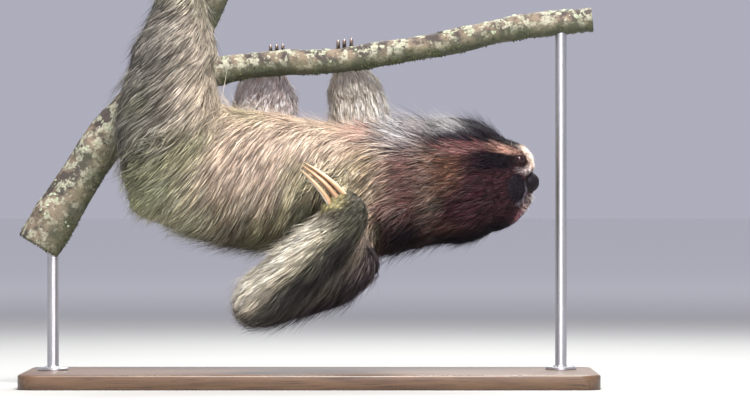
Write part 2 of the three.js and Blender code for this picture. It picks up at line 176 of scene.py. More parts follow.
def mesh_object(name, points, faces, material):
    """An object at the origin from arrays of points and of faces with the same number of corners."""
    faces = np.asarray(faces, np.int32)
    mesh = bpy.data.meshes.new(name)
    mesh.vertices.add(len(points))
    mesh.vertices.foreach_set("co", np.asarray(points, np.float32).ravel())
    mesh.loops.add(faces.size)
    mesh.loops.foreach_set("vertex_index", faces.ravel())
    mesh.polygons.add(len(faces))
    mesh.polygons.foreach_set("loop_start", np.arange(0, faces.size, faces.shape[1], dtype=np.int32))
    mesh.materials.append(material)
    mesh.update(calc_edges=True)
    made = bpy.data.objects.new(name, mesh)
    bpy.context.scene.collection.objects.link(made)
    return made


def around(sides):
    """Angles evenly spaced round a full turn."""
    return np.linspace(0, 2 * math.pi, sides, endpoint=False)


def ring_bands(rings, sides):
    """Four-cornered faces between rings of points that follow one another in an array."""
    grid = np.arange(rings * sides).reshape(rings, sides)
    inner, outer = grid[:-1], grid[1:]
    return np.stack([inner, outer, np.roll(outer, -1, 1), np.roll(inner, -1, 1)], -1).reshape(-1, 4)


FLOOR_RADII = (0.01, 3, 70)
FLOOR_SIDES = 64
paper = Shader("floor_paper", Roughness=0.9)
off_centre = paper.node("ShaderNodeVectorMath", {"operation": "LENGTH"}, {0: paper.place()}, "Value")
paper.set("Base Color", paper.mix((0.35, 0.35, 0.345), (0.94, 0.94, 0.93), off_centre.between(1.2, 7)))
circle = np.stack([np.cos(around(FLOOR_SIDES)), np.sin(around(FLOOR_SIDES)), np.zeros(FLOOR_SIDES)], 1)
floor = mesh_object("floor", np.concatenate([radius * circle for radius in FLOOR_RADII]),
                    ring_bands(len(FLOOR_RADII), FLOOR_SIDES), paper.material)

# ---- Skin ------------------------------------------------------------------------------------------
# The animal's hide, one closed surface under the coat from the nose to the feet. It is the flesh solids
# joined without their cuts and drawn in by the depth of the coat, with the lids, lips and mouth formed
# on the face. It shows only between the locks, so it carries the coat's markings, darker.
FLESH = [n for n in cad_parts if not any(w in n for w in ("claw", "eye", "nose", "perch", "stand"))]
VOXEL = 0.004               # of the remesh that joins the solids
FACE_FROM = 0.226           # forward of this the hide is finer
EYE, EYE_RADIUS = (250.2, 27.6, 272.4), 6.6
NOSE, NOSE_RADII = (260.6, 0, 245.5), (14.5, 16.8, 12.8)
CLAW_SOCKET = 7.5           # radius of the filling behind a claw, in millimetres


def body(x, y, z):
    """A point given in millimetres from the animal's mid-plane, in metres in the model's frame."""
    return np.array([x, y, z]) / 1000 + [0, BODY_PLANE, 0]


def step(low, high, x):
    """0 below low, 1 above high and a smooth step between, for low under or over high."""
    t = np.clip((x - low) / (high - low), 0, 1)
    return t * t * (3 - 2 * t)


def unit(v):
    """Vectors of length one."""
    return v / np.maximum(np.linalg.norm(v, axis=-1, keepdims=True), 1e-12)


flesh = bmesh.new()
owner = []
for name in FLESH:
    flesh.from_mesh(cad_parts[name].data)
    owner += [name] * (len(flesh.faces) - len(owner))
whose_flesh = BVHTree.FromBMesh(flesh)
bmesh.ops.remove_doubles(flesh, verts=flesh.verts, dist=1e-5)
sockets = [(body(*NOSE), np.array(NOSE_RADII) - 1.5)]
sockets += [(body(EYE[0], side * EYE[1], EYE[2]), [EYE_RADIUS - 1] * 3) for side in (-1, 1)]
for limb in ("left_hand", "right_hand", "left_foot", "right_foot"):
    middle = sum(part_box(limb), Vector()) / 2        # a claw's root is its dozen points nearest to this
    for toe in (1, 2, 3):
        claw = [v.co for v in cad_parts[f"{limb}_claw_{toe}"].data.vertices]
        root = sum(sorted(claw, key=lambda co: (co - middle).length)[:12], Vector()) / 12
        sockets.append((root.lerp(middle, 0.2), [CLAW_SOCKET] * 3))
for place, radii in sockets:        # filled, so that the hide runs on behind claws, nose and eyes
    plug = bmesh.ops.create_icosphere(flesh, subdivisions=2, radius=0.001)
    bmesh.ops.scale(flesh, verts=plug["verts"], vec=radii)
    bmesh.ops.translate(flesh, verts=plug["verts"], vec=place)
rough_mesh = bpy.data.meshes.new("flesh")
flesh.to_mesh(rough_mesh)
flesh.free()
rough = bpy.data.objects.new("flesh", rough_mesh)
bpy.context.scene.collection.objects.link(rough)
remesh = rough.modifiers.new("one skin", "REMESH")
remesh.mode = "VOXEL"
remesh.voxel_size = VOXEL
whole = bpy.data.meshes.new_from_object(rough.evaluated_get(bpy.context.evaluated_depsgraph_get()))
bpy.data.objects.remove(rough)

hide = bmesh.new()
hide.from_mesh(whole)
for _ in range(2):
    front = [e for e in hide.edges if all(v.co.x > FACE_FROM for v in e.verts)]
    bmesh.ops.subdivide_edges(hide, edges=front, cuts=1, use_grid_fill=True)
bmesh.ops.triangulate(hide, faces=hide.faces)
hide.to_mesh(whole)
hide.free()

at = np.empty(len(whole.vertices) * 3)
whole.vertices.foreach_get("co", at)
at = at.reshape(-1, 3)
ends = np.empty(len(whole.edges) * 2, np.int64)
whole.edges.foreach_get("vertices", ends)
ends = ends.reshape(-1, 2)
corners = np.empty(len(whole.polygons) * 3, np.int64)
whole.loops.foreach_get("vertex_index", corners)
corners = corners.reshape(-1, 3)
both = np.concatenate([ends, ends[:, ::-1]])
degree = np.bincount(both[:, 0], minlength=len(at))[:, None]


def relaxed(values, share, rounds=1):
    """Values at the skin's points, each moved by this share towards the mean of its neighbours'."""
    for _ in range(rounds):
        sums = np.stack([np.bincount(both[:, 0], column[both[:, 1]], len(at)) for column in values.T], 1)
        values = values + share * (sums / degree - values)
    return values


def normals_of(points):
    """The outward normals of the skin when its points are here."""
    faces = points[corners]
    normal = np.cross(faces[:, 1] - faces[:, 0], faces[:, 2] - faces[:, 0])
    sums = [np.bincount(corners.ravel(), np.repeat(column, 3), len(points)) for column in normal.T]
    return unit(np.stack(sums, 1))


for _ in range(8):      # smooths the steps of the voxels without shrinking the form
    at = relaxed(relaxed(at, 0.5), -0.52)
found = [owner[whose_flesh.find_nearest(point)[2]] for point in at.tolist()]
share = relaxed(np.array([[float(f == name) for name in FLESH] for f in found]), 0.8, 14)
of = dict(zip(FLESH, share.T))      # how far each point belongs to the head, the trunk and so on


def by_part(default, **parts):
    """A number or vector at each point of the skin, blended from those of the parts round it."""
    values = [np.atleast_1d(parts.get(n, parts.get(n.split("_", 1)[-1], default))) for n in FLESH]
    return sum(of[n][:, None] * np.asarray(v, float) for n, v in zip(FLESH, values)).squeeze()


X, Y, Z = (at - [0, BODY_PLANE, 0]).T * 1000
toward_face = step(205, 248, X - 0.9 * np.clip(Z - 280, 0, 40)) * of["head"]
coat_top = at
depth = by_part(12, trunk=15, neck=14, head=9.5, tail=6, thigh=13, shank=10, foot=4,
                upper_arm=12, forearm=9, hand=3.5) / 1000
depth = depth + (0.0015 - depth) * toward_face
at = relaxed(at - normals_of(at) * depth[:, None], 0.5, 3)


def near(x, y, z, radius):
    """1 at a point of the face and its mirror image, falling to nothing a little past the radius."""
    gap = [np.linalg.norm(at - body(x, side * y, z), axis=1) for side in (-1, 1)]
    return np.exp(-(np.minimum(*gap) * 1000 / radius) ** 2)


def near_line(points, size):
    """As near(), along a row of points."""
    return np.max([near(*point, size) for point in points], axis=0)


# Lip pads, brows, cheeks, the bridge of the nose and the chin swell; the hollows between them sink.
out = normals_of(at)
swell = 3.4 * near(248, 14, 239, 10) + 1.6 * near(246, 27, 284, 6) - 1.6 * near(257, 17, 246, 4)
swell += 1.6 * near(264, 6, 263, 7) + 1.6 * near(243, 31, 262, 5) - 1.5 * near(251, 24, 256, 4)
swell += 1.2 * near(254, 0, 211, 8) - 1.2 * near(241, 27, 256, 6) - 1.2 * near(238, 24, 236, 7)
mouth = [(268, 1, 227), (263, 7, 225), (257, 13, 221.5), (250, 18, 218), (243, 22, 217)]
halfway = [tuple(np.add(a, b) / 2) for a, b in zip(mouth, mouth[1:])]
lips = near_line(mouth[:-1] + halfway, 2.5)
at = at + out * ((swell - 3.4 * lips) / 1000)[:, None]
round_nose = np.linalg.norm((at - body(*NOSE)) / (np.array(NOSE_RADII) / 1000), axis=1)
at = at + (relaxed(at, 0.6, 30) - at) * step(1.6, 1.2, round_nose)[:, None]

# The free hand is drawn in at the knuckles, so that its claws stand clear of the hair.
knuckles = np.exp(-(np.linalg.norm(at - body(42, -131, 217), axis=1) / 0.012) ** 2) * of["left_hand"]
at = at - out * (0.0065 * knuckles)[:, None]

# Each eyelid is the hide round an almond-shaped opening, pushed out to a ball a little over the eye's.
GAZE = (0.55, 0.83, 0.08)
for side in (-1, 1):
    centre = body(EYE[0], side * EYE[1], EYE[2])
    gaze = unit(np.array(GAZE) * [1, side, 1])
    ray = (at - centre) * 1000
    far = np.linalg.norm(ray, axis=1)
    heading = ray / far[:, None]
    rise = heading @ unit(np.array([-0.06 * gaze[0], 0, 1]))
    along = heading @ unit(np.cross(gaze, [0, 0, 1]))
    opening = np.hypot(along / 0.95, (rise - 0.02) / 0.76) < 1
    opening &= heading @ gaze > 0
    lid = EYE_RADIUS + 1.3 * np.exp(-((far - EYE_RADIUS) / 4) ** 2)
    wanted = np.where(opening, EYE_RADIUS - 1.6, np.maximum(far, lid))
    near_eye = far < 13
    at[near_eye] = (centre + heading * wanted[:, None] / 1000)[near_eye]
at = relaxed(at, 0.15)
out = normals_of(at)
X, Y, Z = (at - [0, BODY_PLANE, 0]).T * 1000


# ---- Markings --------------------------------------------------------------------------------------
# What colour the coat is at each point of the hide: cream belly, grey-green flanks, dark back, brown
# throat, a pale brow over a dark eye stripe. Some of it is painted light: the belly lighter and the back
# darker partly by which way the hide faces, painted shadow under the neck, under the jaw and on the near
# upper arm, the free foreleg's upper edge and the far limbs painted lighter as if lit, and a painted
# highlight round the lip pad. They are worked out once, for the skin and the locks alike.
def noise(points, size, seed):
    """Smooth noise from 0 to 1, with lumps of about this size in metres."""
    q = points / size + 31.7 * seed
    cell = np.floor(q).astype(np.int64)
    f = q - cell
    f = f * f * (3 - 2 * f)
    total = np.zeros(len(points))
    for dx in (0, 1):
        for dy in (0, 1):
            for dz in (0, 1):
                h = (cell[:, 0] + dx) * 73856093 ^ (cell[:, 1] + dy) * 19349663 ^ (cell[:, 2] + dz) * 83492791
                h = (h ^ (h >> 13)) * 1274126177 & 0xFFFFFFFF
                weight = np.abs(1 - dx - f[:, 0]) * np.abs(1 - dy - f[:, 1]) * np.abs(1 - dz - f[:, 2])
                total += weight * (((h ^ (h >> 16)) & 0xFFFF) / 65535)
    return total


def linear(colour):
    """A colour as a screen shows it, in the linear values that materials use."""
    colour = np.asarray(colour, float)
    return np.where(colour > 0.04045, ((colour + 0.055) / 1.055) ** 2.4, colour / 12.92)


def painted_over(base, layers):
    """Colours after these layers, each a colour and how fully it covers each point, from 0 to 1."""
    for colour, share in layers:
        base = base + (linear(colour) - base) * np.clip(share, 0, 1)[:, None]
    return base


patchy = noise(at, 0.045, 3)
# Which way the hide faces: 0 where it faces up, on the belly, and 1 where it faces down, on the back.
down_side = step(-0.55, 0.9, -out[:, 2])            # 0 on the belly, 1 on the back
trunk, neck, head, free_forearm = (of[name] for name in ("trunk", "neck", "head", "left_forearm"))
hind = by_part(0, thigh=1, shank=1, foot=1)
near_tail = 0.3 * of["tail"] + by_part(0, trunk=1, tail=1) * np.exp(
    -((X + 180) / 26) ** 2 - ((Z - 206) / 18) ** 2)
near_thigh = by_part(0, left_thigh=0.95, left_shank=0.6)
far_thigh = by_part(0, right_thigh=1, right_shank=0.95, right_foot=0.7)
mossy = by_part(0, trunk=1, thigh=1, shank=1, forearm=0.7, hand=1)
fold = (-(X + 12) * 0.68 + (Z - 150) * 0.73) / 30       # across the folded forearm, 1 on its upper edge
hue = painted_over(np.tile(linear((0.77, 0.70, 0.60)), (len(at), 1)), (
    # The flanks and back darker and the belly lighter by which way the hide faces: partly the coat's own
    # colours, partly painted light from above and painted shade beneath.
    ((0.68, 0.65, 0.56), down_side * 0.9),  # flanks
    ((0.55, 0.53, 0.48), step(0.5, 1, down_side)),  # back
    ((0.88, 0.79, 0.71), (1 - step(0, 0.42, down_side)) * step(-150, -80, X)),  # belly
    ((0.83, 0.68, 0.63), step(55, 95, X) * trunk),  # chest
    ((0.36, 0.22, 0.24), step(86, 114, X + 0.6 * (232 - Z)) * trunk),  # shoulders
    # Painted shadow under the neck, on the chest beside the near foreleg: near black with a violet tinge.
    ((0.06, 0.035, 0.09), step(72, 106, X) * step(228, 200, Z) * trunk),
    ((0.86, 0.85, 0.72), step(-90, -170, X) * trunk * 0.9),  # rump
    ((0.80, 0.81, 0.68), step(-70, -130, X) * step(0.3, 0.8, down_side) * trunk * 0.8),
    ((0.84, 0.76, 0.62), near_tail * 0.9),
    ((0.33, 0.31, 0.36), hind * step(-0.1, -0.75, out[:, 0]) * step(360, 240, Z) * 0.7),
    ((0.52, 0.50, 0.47), hind),  # hind legs
    ((0.74, 0.73, 0.63), hind * step(345, 290, Z) * step(-205, -178, X) * 0.7),
    ((0.84, 0.78, 0.70), near_thigh * step(-170, -118, X) * (Y < 40)),
    # Painted light: the far thigh made near white, as if lit from above and behind.
    ((1.0, 0.93, 0.92), far_thigh * step(15, -25, X)),
    ((0.60, 0.64, 0.42), step(0.45, 0.8, patchy) * 0.4 * mossy),  # algae
    # The free foreleg near white on its upper edge and dark grey on its lower one: partly the fur's own
    # colours, partly painted light above and painted shade below.
    ((1.0, 0.96, 0.88), free_forearm * step(-0.4, 0.35, fold)),  # free foreleg
    ((0.30, 0.29, 0.28), free_forearm * step(0.1, -0.6, fold)),
    ((0.27, 0.28, 0.24), of["left_hand"] * 0.9),
    ((0.84, 0.79, 0.56), of["left_hand"] * step(213, 226, Z) * step(58, 40, X)),
    # Painted shade on the near upper arm: dark, with a violet tinge.
    ((0.22, 0.18, 0.22), of["left_upper_arm"] * 0.95),
    ((0.62, 0.50, 0.48), of["left_upper_arm"] * step(100, 84, Z) * step(-20, 20, X)),
    # Painted light: the far foreleg made near white, as if lit from above and behind.
    ((1.0, 0.96, 0.90), by_part(0, right_forearm=1, right_upper_arm=0.95, right_hand=0.85)),
    ((0.60, 0.53, 0.54), by_part(0, right_forearm=0.8, right_upper_arm=0.6) * step(78, 98, X)),
))
# Painted light: the far limbs brightened further, beyond their marking.
hue = hue * (1 + 0.4 * by_part(0, right_thigh=1, right_shank=1, right_foot=1, right_forearm=1))[:, None]

ruff = head * step(216, 182, X) * step(0.2, 0.7, patchy) * step(290, 278, Z)
wander = 4 * (noise(at, 0.013, 8) - 0.5)                # keeps the markings' edges from running straight
crown_edge = 284.5 + wander - 3 * step(240, 262, X) + 5 * np.exp(-((X - 238) / 12) ** 2)
band = head * step(276, 279, Z + wander) * step(1, -3, Z - crown_edge) * step(164, 180, X)
off_middle = np.abs(Y)
cream = np.maximum(step(255, 264, X + 0.35 * (Z - 270)), step(20, 12, off_middle) * step(240, 252, X))
stripe = step(257, 265, Z - wander) * step(282, 277, Z + wander) * step(186, 222, X) * step(250, 240, X)
corner_of_eye = near(256, 23, 270, 8) * step(6, 12, off_middle) * step(262, 266, Z)
across_pad = np.hypot((X - 248) / 10.5, (Z - 239) / 16.5)
lip_pad = step(1.12, 0.94, across_pad) * step(3, 9, off_middle) * head * step(258, 254, Z)
# A painted highlight along the front and lower edge of the lip pad.
lip_pad_highlight = step(0.16, 0.06, np.abs(across_pad - 1.06)) * step(246, 252, X) * step(250, 240, Z)
from_pad = np.sqrt(((X - 262.5) / 15) ** 2 + (Y / 21) ** 2 + ((Z - 245.5) / 14) ** 2)
pad = step(1.12, 1.0, from_pad) * head * step(262, 257, Z)
hue = painted_over(hue, (
    ((0.42, 0.29, 0.28), neck),  # throat
    # Painted shadow on the underside of the neck: near black with a violet tinge.
    ((0.05, 0.03, 0.085), neck * step(228, 206, Z + 0.25 * (X - 120))),
    ((0.66, 0.65, 0.66), neck * step(272, 292, Z)),  # nape
    ((0.25, 0.13, 0.165), head),  # cheeks
    ((0.46, 0.325, 0.265), ruff),
    # Painted shade under the jaw: near black with a violet tinge.
    ((0.07, 0.045, 0.11), head * step(208, 190, Z + 0.15 * (200 - X))),  # under the jaw
    ((0.13, 0.10, 0.15), head * step(-3, 1, Z - crown_edge) * step(262, 255, X)),  # crown
    ((0.66, 0.65, 0.66), head * step(6, 12, Z - crown_edge) * step(212, 186, X)),
    ((0.54, 0.35, 0.35), band),  # temple
    ((0.78, 0.59, 0.52), band * step(216, 234, X)),
    ((0.96, 0.86, 0.80), head * cream * step(252, 260, Z) * step(290, 282, Z)),  # brow
    ((0.085, 0.045, 0.09), head * stripe * step(8, 16, off_middle)),  # eye stripe
    ((0.25, 0.10, 0.11), 1.6 * corner_of_eye),
    ((0.95, 0.88, 0.88), 1.3 * near_line(  # under the eye
        ((248, 27, 260), (253, 23, 259.5), (258, 19, 259), (263, 14, 259)), 3.3)),
    ((0.055, 0.025, 0.035), 1.6 * near(EYE[0] - 1, EYE[1] + 2, EYE[2], 6.6)),  # eyelids
    ((0.17, 0.135, 0.18), lip_pad),
    # Painted highlight round the lip pad.
    ((0.50, 0.46, 0.52), 0.9 * lip_pad_highlight * head),
    ((0.045, 0.036, 0.045), pad),  # round the nose
    ((0.74, 0.50, 0.54), 1.5 * near(252, 8, 211, 9) + 1.3 * near(258, 9, 220, 5)),  # chin
    ((0.80, 0.68, 0.70), 1.3 * near_line(((266, 4, 229), (262, 10, 228), (257, 15, 225)), 2.6)),
    ((0.16, 0.07, 0.10), lips),
))


def store_colour(mesh, colours):
    """Puts a colour at each point of a mesh, for a material to read."""
    layer = mesh.color_attributes.new("coat", "FLOAT_COLOR", "POINT")
    rgba = np.concatenate([np.clip(colours, 0, 1), np.ones((len(colours), 1))], 1)
    layer.data.foreach_set("color", rgba.astype(np.float32).ravel())


hide_look = Shader("hide", Roughness=0.75, Specular_IOR_Level=0.2)
painted = hide_look.node("ShaderNodeAttribute", {"attribute_name": "coat"}, output="Color")
grain = hide_look.noise(hide_look.place(), 900, 4)
hide_look.set("Base Color", hide_look.mix(painted, (0.02, 0.012, 0.01), grain.between(0.5, 0.75) * 0.5))
hide_look.bump(grain, 0.0006, 0.6)
skin = mesh_object("skin", at, corners, hide_look.material)
bald = 1.5 * pad + 1.5 * near(*EYE, 7.2) + 0.4 * lip_pad + 0.9 * lips
darker = 0.4 + 0.6 * np.clip(bald, 0, 1)[:, None]
store_colour(skin.data, hue * darker)
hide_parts(*FLESH)
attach(skin, "root")

# ---- Coat ------------------------------------------------------------------------------------------
# Long, coarse, slightly wavy hair in thin locks that grow from the feet and hands towards the body and
# from the belly down round the flanks, so that rain runs off a hanging animal. Each lock is one closed
# three-sided spindle, rooted in the hide, laid along it and drawn towards its neighbours at the tip.

# The way the hair lies at each point of the hide.
lie = by_part((-1, 0, -0.3),
              trunk=(-1, 0, 0), neck=(-1, 0, -0.3), head=(-1, 0, -0.3), tail=(-0.2, 0, -1),
              left_thigh=(-0.8, 0, -0.75), left_shank=(-0.6, -0.1, -0.8), left_foot=(-0.7, -0.4, -0.5),
              right_thigh=(-0.5, -0.3, -0.7), right_shank=(-0.3, 0.1, -0.9), right_foot=(-0.3, 0.3, -0.8),
              left_upper_arm=(-0.55, -0.1, -0.8), left_forearm=(-0.75, 0.1, -0.6),
              left_hand=(-0.75, -0.1, -0.55), right_upper_arm=(-0.1, -0.4, -0.8),
              right_forearm=(0.05, 0.4, -0.85), right_hand=(0.2, 0.3, -0.85))
steep = 0.9 + 1.2 * step(-150, -60, X) - 1.5 * step(20, 110, X)
lie[:, 2] -= trunk * steep
lie[:, 1] += 0.9 * step(-120, -190, X) * by_part(0, trunk=1, tail=1)
from_nose = unit(at - body(262, 0, 250))
lie += (2.2 * from_nose + np.array([-0.4, 0, 0])) * toward_face[:, None]
nape = (head * (1 - toward_face) + neck + trunk * step(80, 110, X)) * step(272, 296, Z)
lie[:, 2] += 0.9 * nape
lie = lie - out * (lie * out).sum(1)[:, None]
lie = relaxed(lie, 0.5, 6)
lie = unit(lie - out * (lie * out).sum(1)[:, None])

# The length, girth, height above the hide, curl and crowding of the locks there.
length = by_part(34, trunk=56, neck=40, head=29, tail=24, thigh=48, shank=42, foot=19, upper_arm=46,
                 forearm=40, hand=17) / 1000
length = length + (0.0065 - length) * toward_face
length = length * (1 + 0.25 * nape) * (1 - 0.5 * lip_pad)
girth = by_part(1.3, trunk=1.45, neck=1.3, head=1.1, foot=1.0, hand=0.95) / 1000
girth = (girth + (0.0007 - girth) * toward_face) * (1 - 0.3 * lip_pad)
loft = np.linalg.norm(coat_top - at, axis=1) * (1.04 + 0.45 * nape)
loft = loft * (1 + by_part(0, right_forearm=0.25, left_thigh=0.2, left_forearm=0.15))
loft = loft * (1 - 0.45 * np.clip(near_tail, 0, 1))
flat = np.minimum(loft, 0.0035 + 0.004 * step(280, 292, Z)) + 0.0025 * near(262, 7, 263, 9)
loft = np.where(toward_face > 0.5, flat, loft) * (1 - 0.75 * knuckles)
wave = by_part(1.0, neck=2.6, head=2.3, hand=0.3, foot=0.3) / 1000 * (1 - toward_face)
crowd = np.clip(1 - 1.6 * bald, 0, 1) / (length * girth)

finder = KDTree(len(at))
for i, point in enumerate(at.tolist()):
    finder.insert(point, i)
finder.balance()

fur = Shader("fur", Roughness=0.6, Specular_IOR_Level=0.18)
fur.set("Base Color", fur.node("ShaderNodeAttribute", {"attribute_name": "coat"}, output="Color"))


def nearest(points):
    """The indices of the hide's points nearest to these."""
    return np.array([finder.find(point)[1] for point in points.tolist()])


def unwrapped(faces):
    """Where the corners of these faces of the skin lie on an unwrap of their own shape."""
    used, local = np.unique(faces, return_inverse=True)
    part = mesh_object("unwrap", at[used], local.reshape(-1, 3), hide_look.material)
    bpy.ops.object.select_all(action="DESELECT")
    part.select_set(True)
    bpy.context.view_layer.objects.active = part
    part.data.uv_layers.new(name="OFBake")
    bpy.ops.object.mode_set(mode="EDIT")
    bpy.ops.mesh.select_all(action="SELECT")
    bpy.ops.uv.smart_project(angle_limit=1.2, island_margin=0.004)
    bpy.ops.object.mode_set(mode="OBJECT")
    places = np.empty(len(faces) * 6)
    part.data.uv_layers["OFBake"].uv.foreach_get("vector", places)
    bpy.data.objects.remove(part)
    return places.reshape(-1, 3, 2)


STATIONS = {1: (0, 0.35, 1), 2: (0, 0.16, 0.58, 1), 3: (0, 0.14, 0.42, 0.72, 1)}   # by rings to a lock
GIRTHS = {1: [0.5], 2: [0.5, 0.42], 3: [0.45, 0.5, 0.36]}
CORNERS = np.array([0.5, 2.594, 4.689])         # the angles of a ring's three corners
PATCH = 0.003                                   # the breadth of a lock's patch in the bake


def walked(root, run, size, high, bend, phase, stations):
    """Spines that walk over the hide from their roots, a station at a time, and rise as they go."""
    walk, spine = root.copy(), []
    for before, now in zip((0, *stations), stations):
        walk = walk + run * (size * (now - before))[:, None]
        i = nearest(walk)
        walk = walk - out[i] * ((walk - at[i]) * out[i]).sum(1)[:, None]
        run = unit(0.6 * (run - out[i] * (run * out[i]).sum(1)[:, None]) + 0.4 * lie[i])
        sway = np.cross(out[i], run) * (bend * np.sin(phase + 6.5 * now) * min(now * 3, 1))[:, None]
        level = 1.05 * (1 - (1 - now) ** 2.2) - 0.05
        spine.append(walk + out[i] * (high * level)[:, None] + sway)
    return np.stack(spine, 1)


def spindles(spine, up, wide, rings):
    """Closed three-sided spindles round these spines: points, faces, and a patch in the bake for each."""
    count = len(spine)
    ahead = unit(np.gradient(spine, axis=1))
    side = unit(np.cross(up[:, None], ahead))
    lift = np.cross(ahead, side)
    angle = CORNERS[None, None, :, None]
    corner = np.cos(angle) * side[:, 1:-1, None] + 0.56 * np.sin(angle) * lift[:, 1:-1, None]
    ring = spine[:, 1:-1, None] + corner * (wide[:, None] * GIRTHS[rings])[..., None, None]
    points = np.concatenate([spine[:, :1], ring.reshape(count, 3 * rings, 3), spine[:, -1:]], 1)
    last = 3 * rings + 1
    pattern = [(0, 2, 1), (0, 3, 2), (0, 1, 3)]
    pattern += [(last, last - 3, last - 2), (last, last - 2, last - 1), (last, last - 1, last - 3)]
    for j in range(3 * rings - 3):
        a, b = 1 + j, 1 + (j + 1) % 3 + j // 3 * 3
        pattern += [(a, b, b + 3), (a, b + 3, a + 3)]
    pattern = np.array(pattern)
    tris = pattern[None] + (last + 1) * np.arange(count)[:, None, None]
    along = np.repeat(np.linspace(-0.5, 0.5, rings + 2), [1] + [3] * rings + [1])
    across = np.concatenate([[0], np.tile([-0.5, 0, 0.5], rings), [0]])
    return points.reshape(-1, 3), tris.reshape(-1, 3), PATCH * np.stack([along, across], 1)[pattern]


def locks(faces, count, rings, rng, clump, fine):
    """Locks over these faces: points, faces, colours, the face and place of each root, and the patch."""
    tri = at[faces]
    chance = np.linalg.norm(np.cross(tri[:, 1] - tri[:, 0], tri[:, 2] - tri[:, 0]), axis=1)
    chance = chance * crowd[faces].mean(1)
    pick = rng.choice(len(faces), count, p=chance / chance.sum())
    weight = rng.dirichlet((1, 1, 1), count)

    def there(values):
        """Values of the hide's points, at the roots of the locks."""
        picked = values[faces[pick]]
        return (picked * weight.reshape(weight.shape + (1,) * (picked.ndim - 2))).sum(1)

    root, size, wide, high, bend, base = (there(v) for v in (at, length, girth, loft, wave, hue))
    up, start = unit(there(out)), unit(there(lie))
    stray = rng.random(count) < (0.22 if fine else 0.08)
    size = size * rng.uniform(0.7, 1.25, count)
    wide = wide * rng.uniform(0.6, 1.2, count) * np.where(stray | fine, 0.5, 1)
    high = high * rng.uniform(0.45, 1.05, count) * np.where(stray, 1.5, 1) + 0.001 * fine
    turn = rng.normal(0, 0.11, count) + 0.55 * (noise(root, 0.02, 4) - 0.5)
    run = start * np.cos(turn)[:, None] + np.cross(up, start) * np.sin(turn)[:, None]
    stations = STATIONS[rings]
    spine = walked(root, run, size, high, bend, rng.uniform(0, 2 * math.pi, count), stations)
    spine[:, -1] += up * (stray * high * rng.uniform(0, 0.6, count))[:, None]

    # One lock in nine leads those round it: they draw in towards it and share its shade.
    guides = rng.choice(count, count // 9, replace=False)
    tree = KDTree(len(guides))
    for g, point in enumerate(root[guides].tolist()):
        tree.insert(point, g)
    tree.balance()
    lead = np.array([tree.find(point)[1] for point in root.tolist()])
    pull = clump * np.array(stations)[None, :, None] * np.where(stray, 0.2, 1)[:, None, None]
    gap = spine[guides][lead] + 0.25 * (root - root[guides][lead])[:, None] - spine
    gap *= np.minimum(1, 0.010 / np.maximum(np.linalg.norm(gap, axis=2, keepdims=True), 1e-9))
    spine = spine + gap * pull

    # Each lock is lighter or darker than the hide's marking under it, and some are dark or pale hairs.
    shade = 0.42 + 1.14 * (0.55 * rng.random(len(guides))[lead] + 0.45 * rng.random(count))
    dark = (rng.random(len(guides))[lead] < 0.14) | (rng.random(count) < (0.3 if fine else 0.12))
    shade = np.where(dark, shade * (0.32 + 0.3 * step(0.25, 0.7, base.mean(1))), shade)
    base = base * shade[:, None]
    pale = ~dark & (rng.random(count) < (0.45 if fine else 0.12))
    grey = np.clip(base.mean(1, keepdims=True) * 2.4, 0, 0.8) * [1, 0.96, 0.86]
    base = np.where(pale[:, None], base * 0.6 + 0.4 * grey, base)

    # Locks that jumped a gap or turned back on themselves are dropped.
    kept = np.linalg.norm(np.diff(spine, axis=1), axis=2) < 1.5 * size[:, None] * np.diff(stations) + 0.007
    kept = kept.all(1) & (((spine[:, -1] - spine[:, 0]) * start).sum(1) > 0.45 * size)
    points, tris, patch = spindles(spine[kept], up[kept], wide[kept], rings)
    fade = np.interp(stations, (0, 0.16, 0.58, 1), (0.25, 0.5, 1.0, 1.15))
    fade = np.repeat(fade, [1] + [3] * rings + [1])
    colours = base[kept][:, None] * fade[None, :, None]
    return points, tris, colours.reshape(-1, 3), pick[kept], weight[kept], patch


def coat(name, where, thick, thin, seed, rings=2, clump=0.55):
    """One piece of the coat, over the faces where the mask is highest: thick locks and thin top hairs."""
    rng = np.random.default_rng(seed)
    faces = corners[where[corners].mean(1) > 0.5]
    places = unwrapped(faces)
    parts = [locks(faces, thick, rings, rng, clump, False), locks(faces, thin, 1, rng, clump * 0.5, True)]
    before = [0, len(parts[0][0])]
    made = mesh_object(name, np.concatenate([part[0] for part in parts]),
                       np.concatenate([part[1] + n for part, n in zip(parts, before)]), fur.material)
    store_colour(made.data, np.concatenate([part[2] for part in parts]))
    uv = []
    for *_, pick, weight, patch in parts:
        spot = np.clip((places[pick] * weight[..., None]).sum(1), 0.002, 0.998)
        uv.append((spot[:, None, None] + patch[None]).ravel())
    made.data.uv_layers.new(name="OFBake").uv.foreach_set("vector", np.concatenate(uv).astype(np.float32))
    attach(made, "root")


left = (Y < 0).astype(float)
face = (toward_face > 0.5).astype(float)
torso = by_part(0, trunk=1, tail=1)
hind_left = by_part(0, left_thigh=1, left_shank=1, left_foot=1)
hind_right = by_part(0, right_thigh=1, right_shank=1, right_foot=1)
fore_left = by_part(0, left_upper_arm=1, left_forearm=1, left_hand=1)
fore_right = by_part(0, right_upper_arm=1, right_forearm=1, right_hand=1)
coat("coat_face", face, 9500, 5000, 11, clump=0.3)
coat("coat_head", head * (1 - face), 8000, 9000, 12, rings=3)
coat("coat_neck", neck, 5500, 4500, 13, rings=3)
coat("coat_trunk_left", torso * left, 11000, 11000, 14)
coat("coat_trunk_right", torso * (1 - left), 11000, 11000, 15)
coat("coat_left_leg", hind_left, 9500, 9000, 16)
coat("coat_right_leg", hind_right, 7000, 5000, 17)
coat("coat_left_arm", fore_left, 9500, 9000, 18)
coat("coat_right_arm", fore_right, 7000, 5500, 19)

